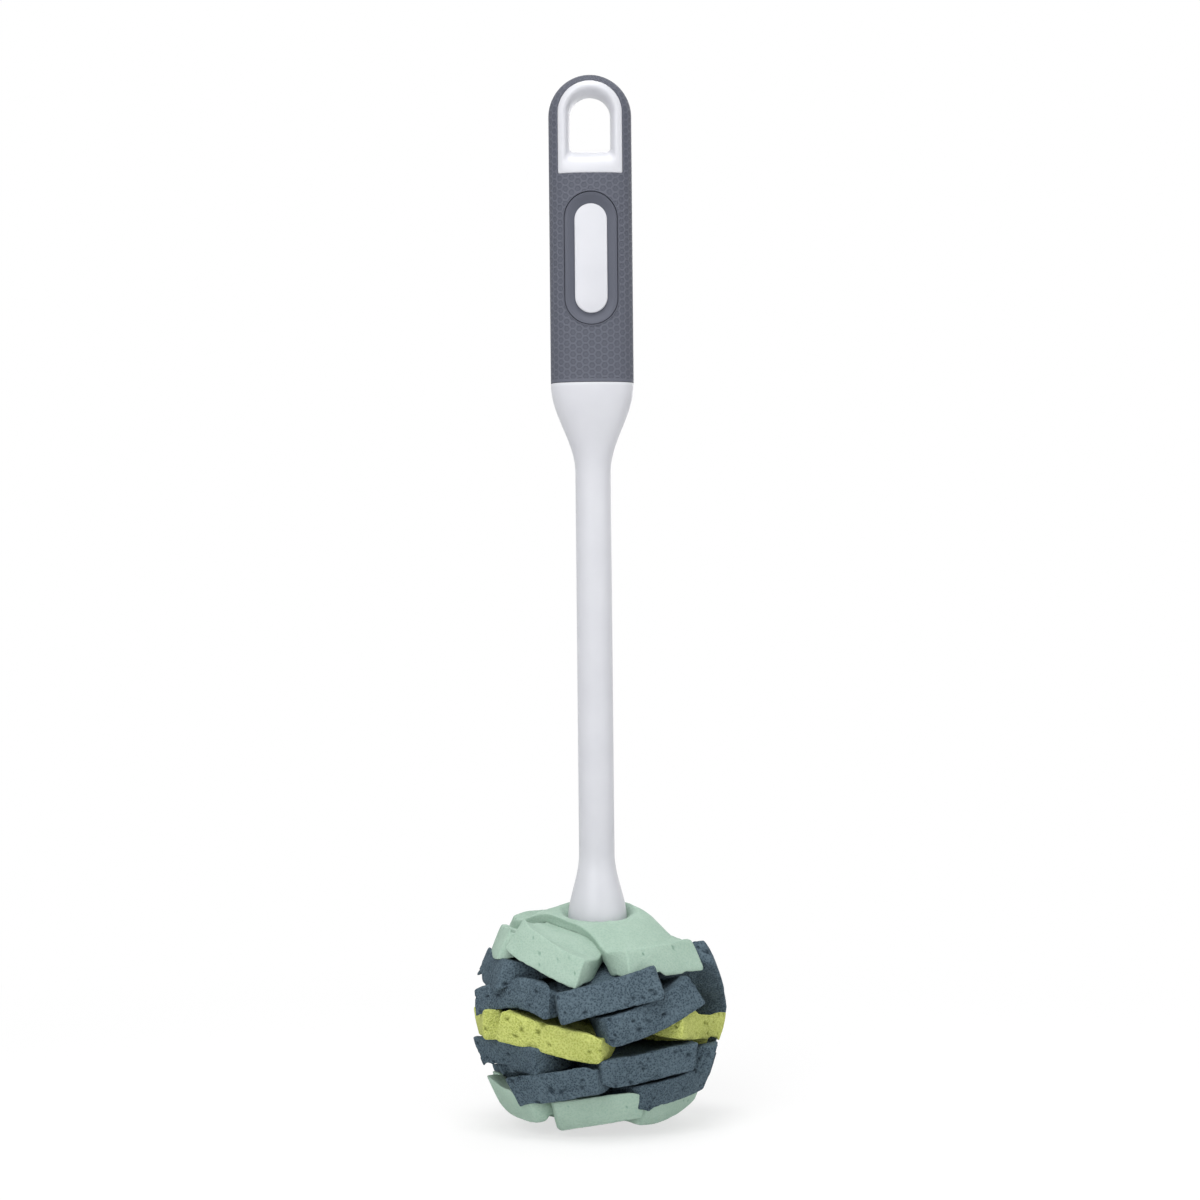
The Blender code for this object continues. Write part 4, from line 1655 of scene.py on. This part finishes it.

# Mint is fine and lets light through; slate and lime are coarse with open mouths. Each foam's
# second colour is painted shade in the cell mouths, also the tone of random patches, and its
# third is painted shade in the blown pores
MINT_FOAM = CutFoam("fine-celled mint polyurethane foam", "#A3B9AB", "#88A293", "#5F8070",
                    cell=0.7 * MM, cell_share=0.35, bump=0.35, glow=0.15)
SLATE_FOAM = CutFoam("coarse open-celled slate polyurethane foam", "#5B6B75", "#323F49",
                     "#222D36", cell=0.66 * MM, cell_share=0.80, bump=1.0, glow=0.0)
LIME_FOAM = CutFoam("coarse open-celled lime polyurethane foam", "#C2C977", "#9AA251",
                    "#6F7632", cell=0.66 * MM, cell_share=0.80, bump=1.0, glow=0.10)


def corners_of(box: Iterable[Iterable[float]]) -> list[list[float]]:
    """Write a box as plain lists.

    Args:
        box: Its lowest and highest corners.

    Returns:
        The two corners as lists of numbers.
    """
    return [[float(value) for value in corner] for corner in box]


def report(pieces: Iterable[bpy.types.Object]) -> None:
    """Make pieces ride on the brush and log how large each is.

    Args:
        pieces: The pieces.
    """
    for piece in pieces:
        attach(piece, BODY)
        triangles = sum(len(face.vertices) - 2 for face in piece.data.polygons)
        LOG.info("%s: %d triangles", piece.name, triangles)


def main() -> None:
    """Load the frame, build every piece in order and set up the studio."""
    logging.basicConfig(level=logging.INFO, format="%(name)s %(message)s")
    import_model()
    cad_box = corners_of(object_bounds())
    grip_low, grip_high = (Vector(corner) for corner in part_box("grip_sleeve"))
    core_low = Vector(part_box("handle_core")[0])
    pin_low, pin_high = (Vector(corner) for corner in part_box("retaining_pin"))

    form = GripForm(half_width=grip_high.x, half_depth=grip_high.y, top_z=LOOP_TOP_Z,
                    bottom_z=grip_low.z - GRIP_HEM)
    window = WindowShape()
    liner = LoopLiner()
    stem = Stem(top_z=form.bottom_z - GRIP_GAP, bottom_z=core_low.z,
                flare_half_width=form.half_width, flare_half_depth=form.half_depth,
                section_power=form.section_power)
    plastic = SatinPolypropylene()
    report([WhiteCore(form, window, liner, stem).build(plastic)])
    report([HoneycombGrip(form, window, liner).build(SoftTouchRubber())])
    report([RetainingPin(head_top_z=pin_low.z + RetainingPin.head_thickness,
                         tip_z=pin_high.z).build(plastic)])
    materials = {Foam.MINT: MINT_FOAM.material(), Foam.SLATE: SLATE_FOAM.material(),
                 Foam.LIME: LIME_FOAM.material()}
    grains = {Foam.MINT: FINE_GRAIN, Foam.SLATE: COARSE_GRAIN, Foam.LIME: COARSE_GRAIN}
    head = FoamHead(core_low.z - SKIRT_CLEARANCE - HALF_STACK, STRIPS)
    report(head.build(materials, grains))

    Studio(floor_z=cad_box[0][2], centre_z=grip_high.z - PICTURE_DROP).build()
    bpy.context.scene.view_settings.view_transform = "Standard"


if __name__ == "__main__":
    main()
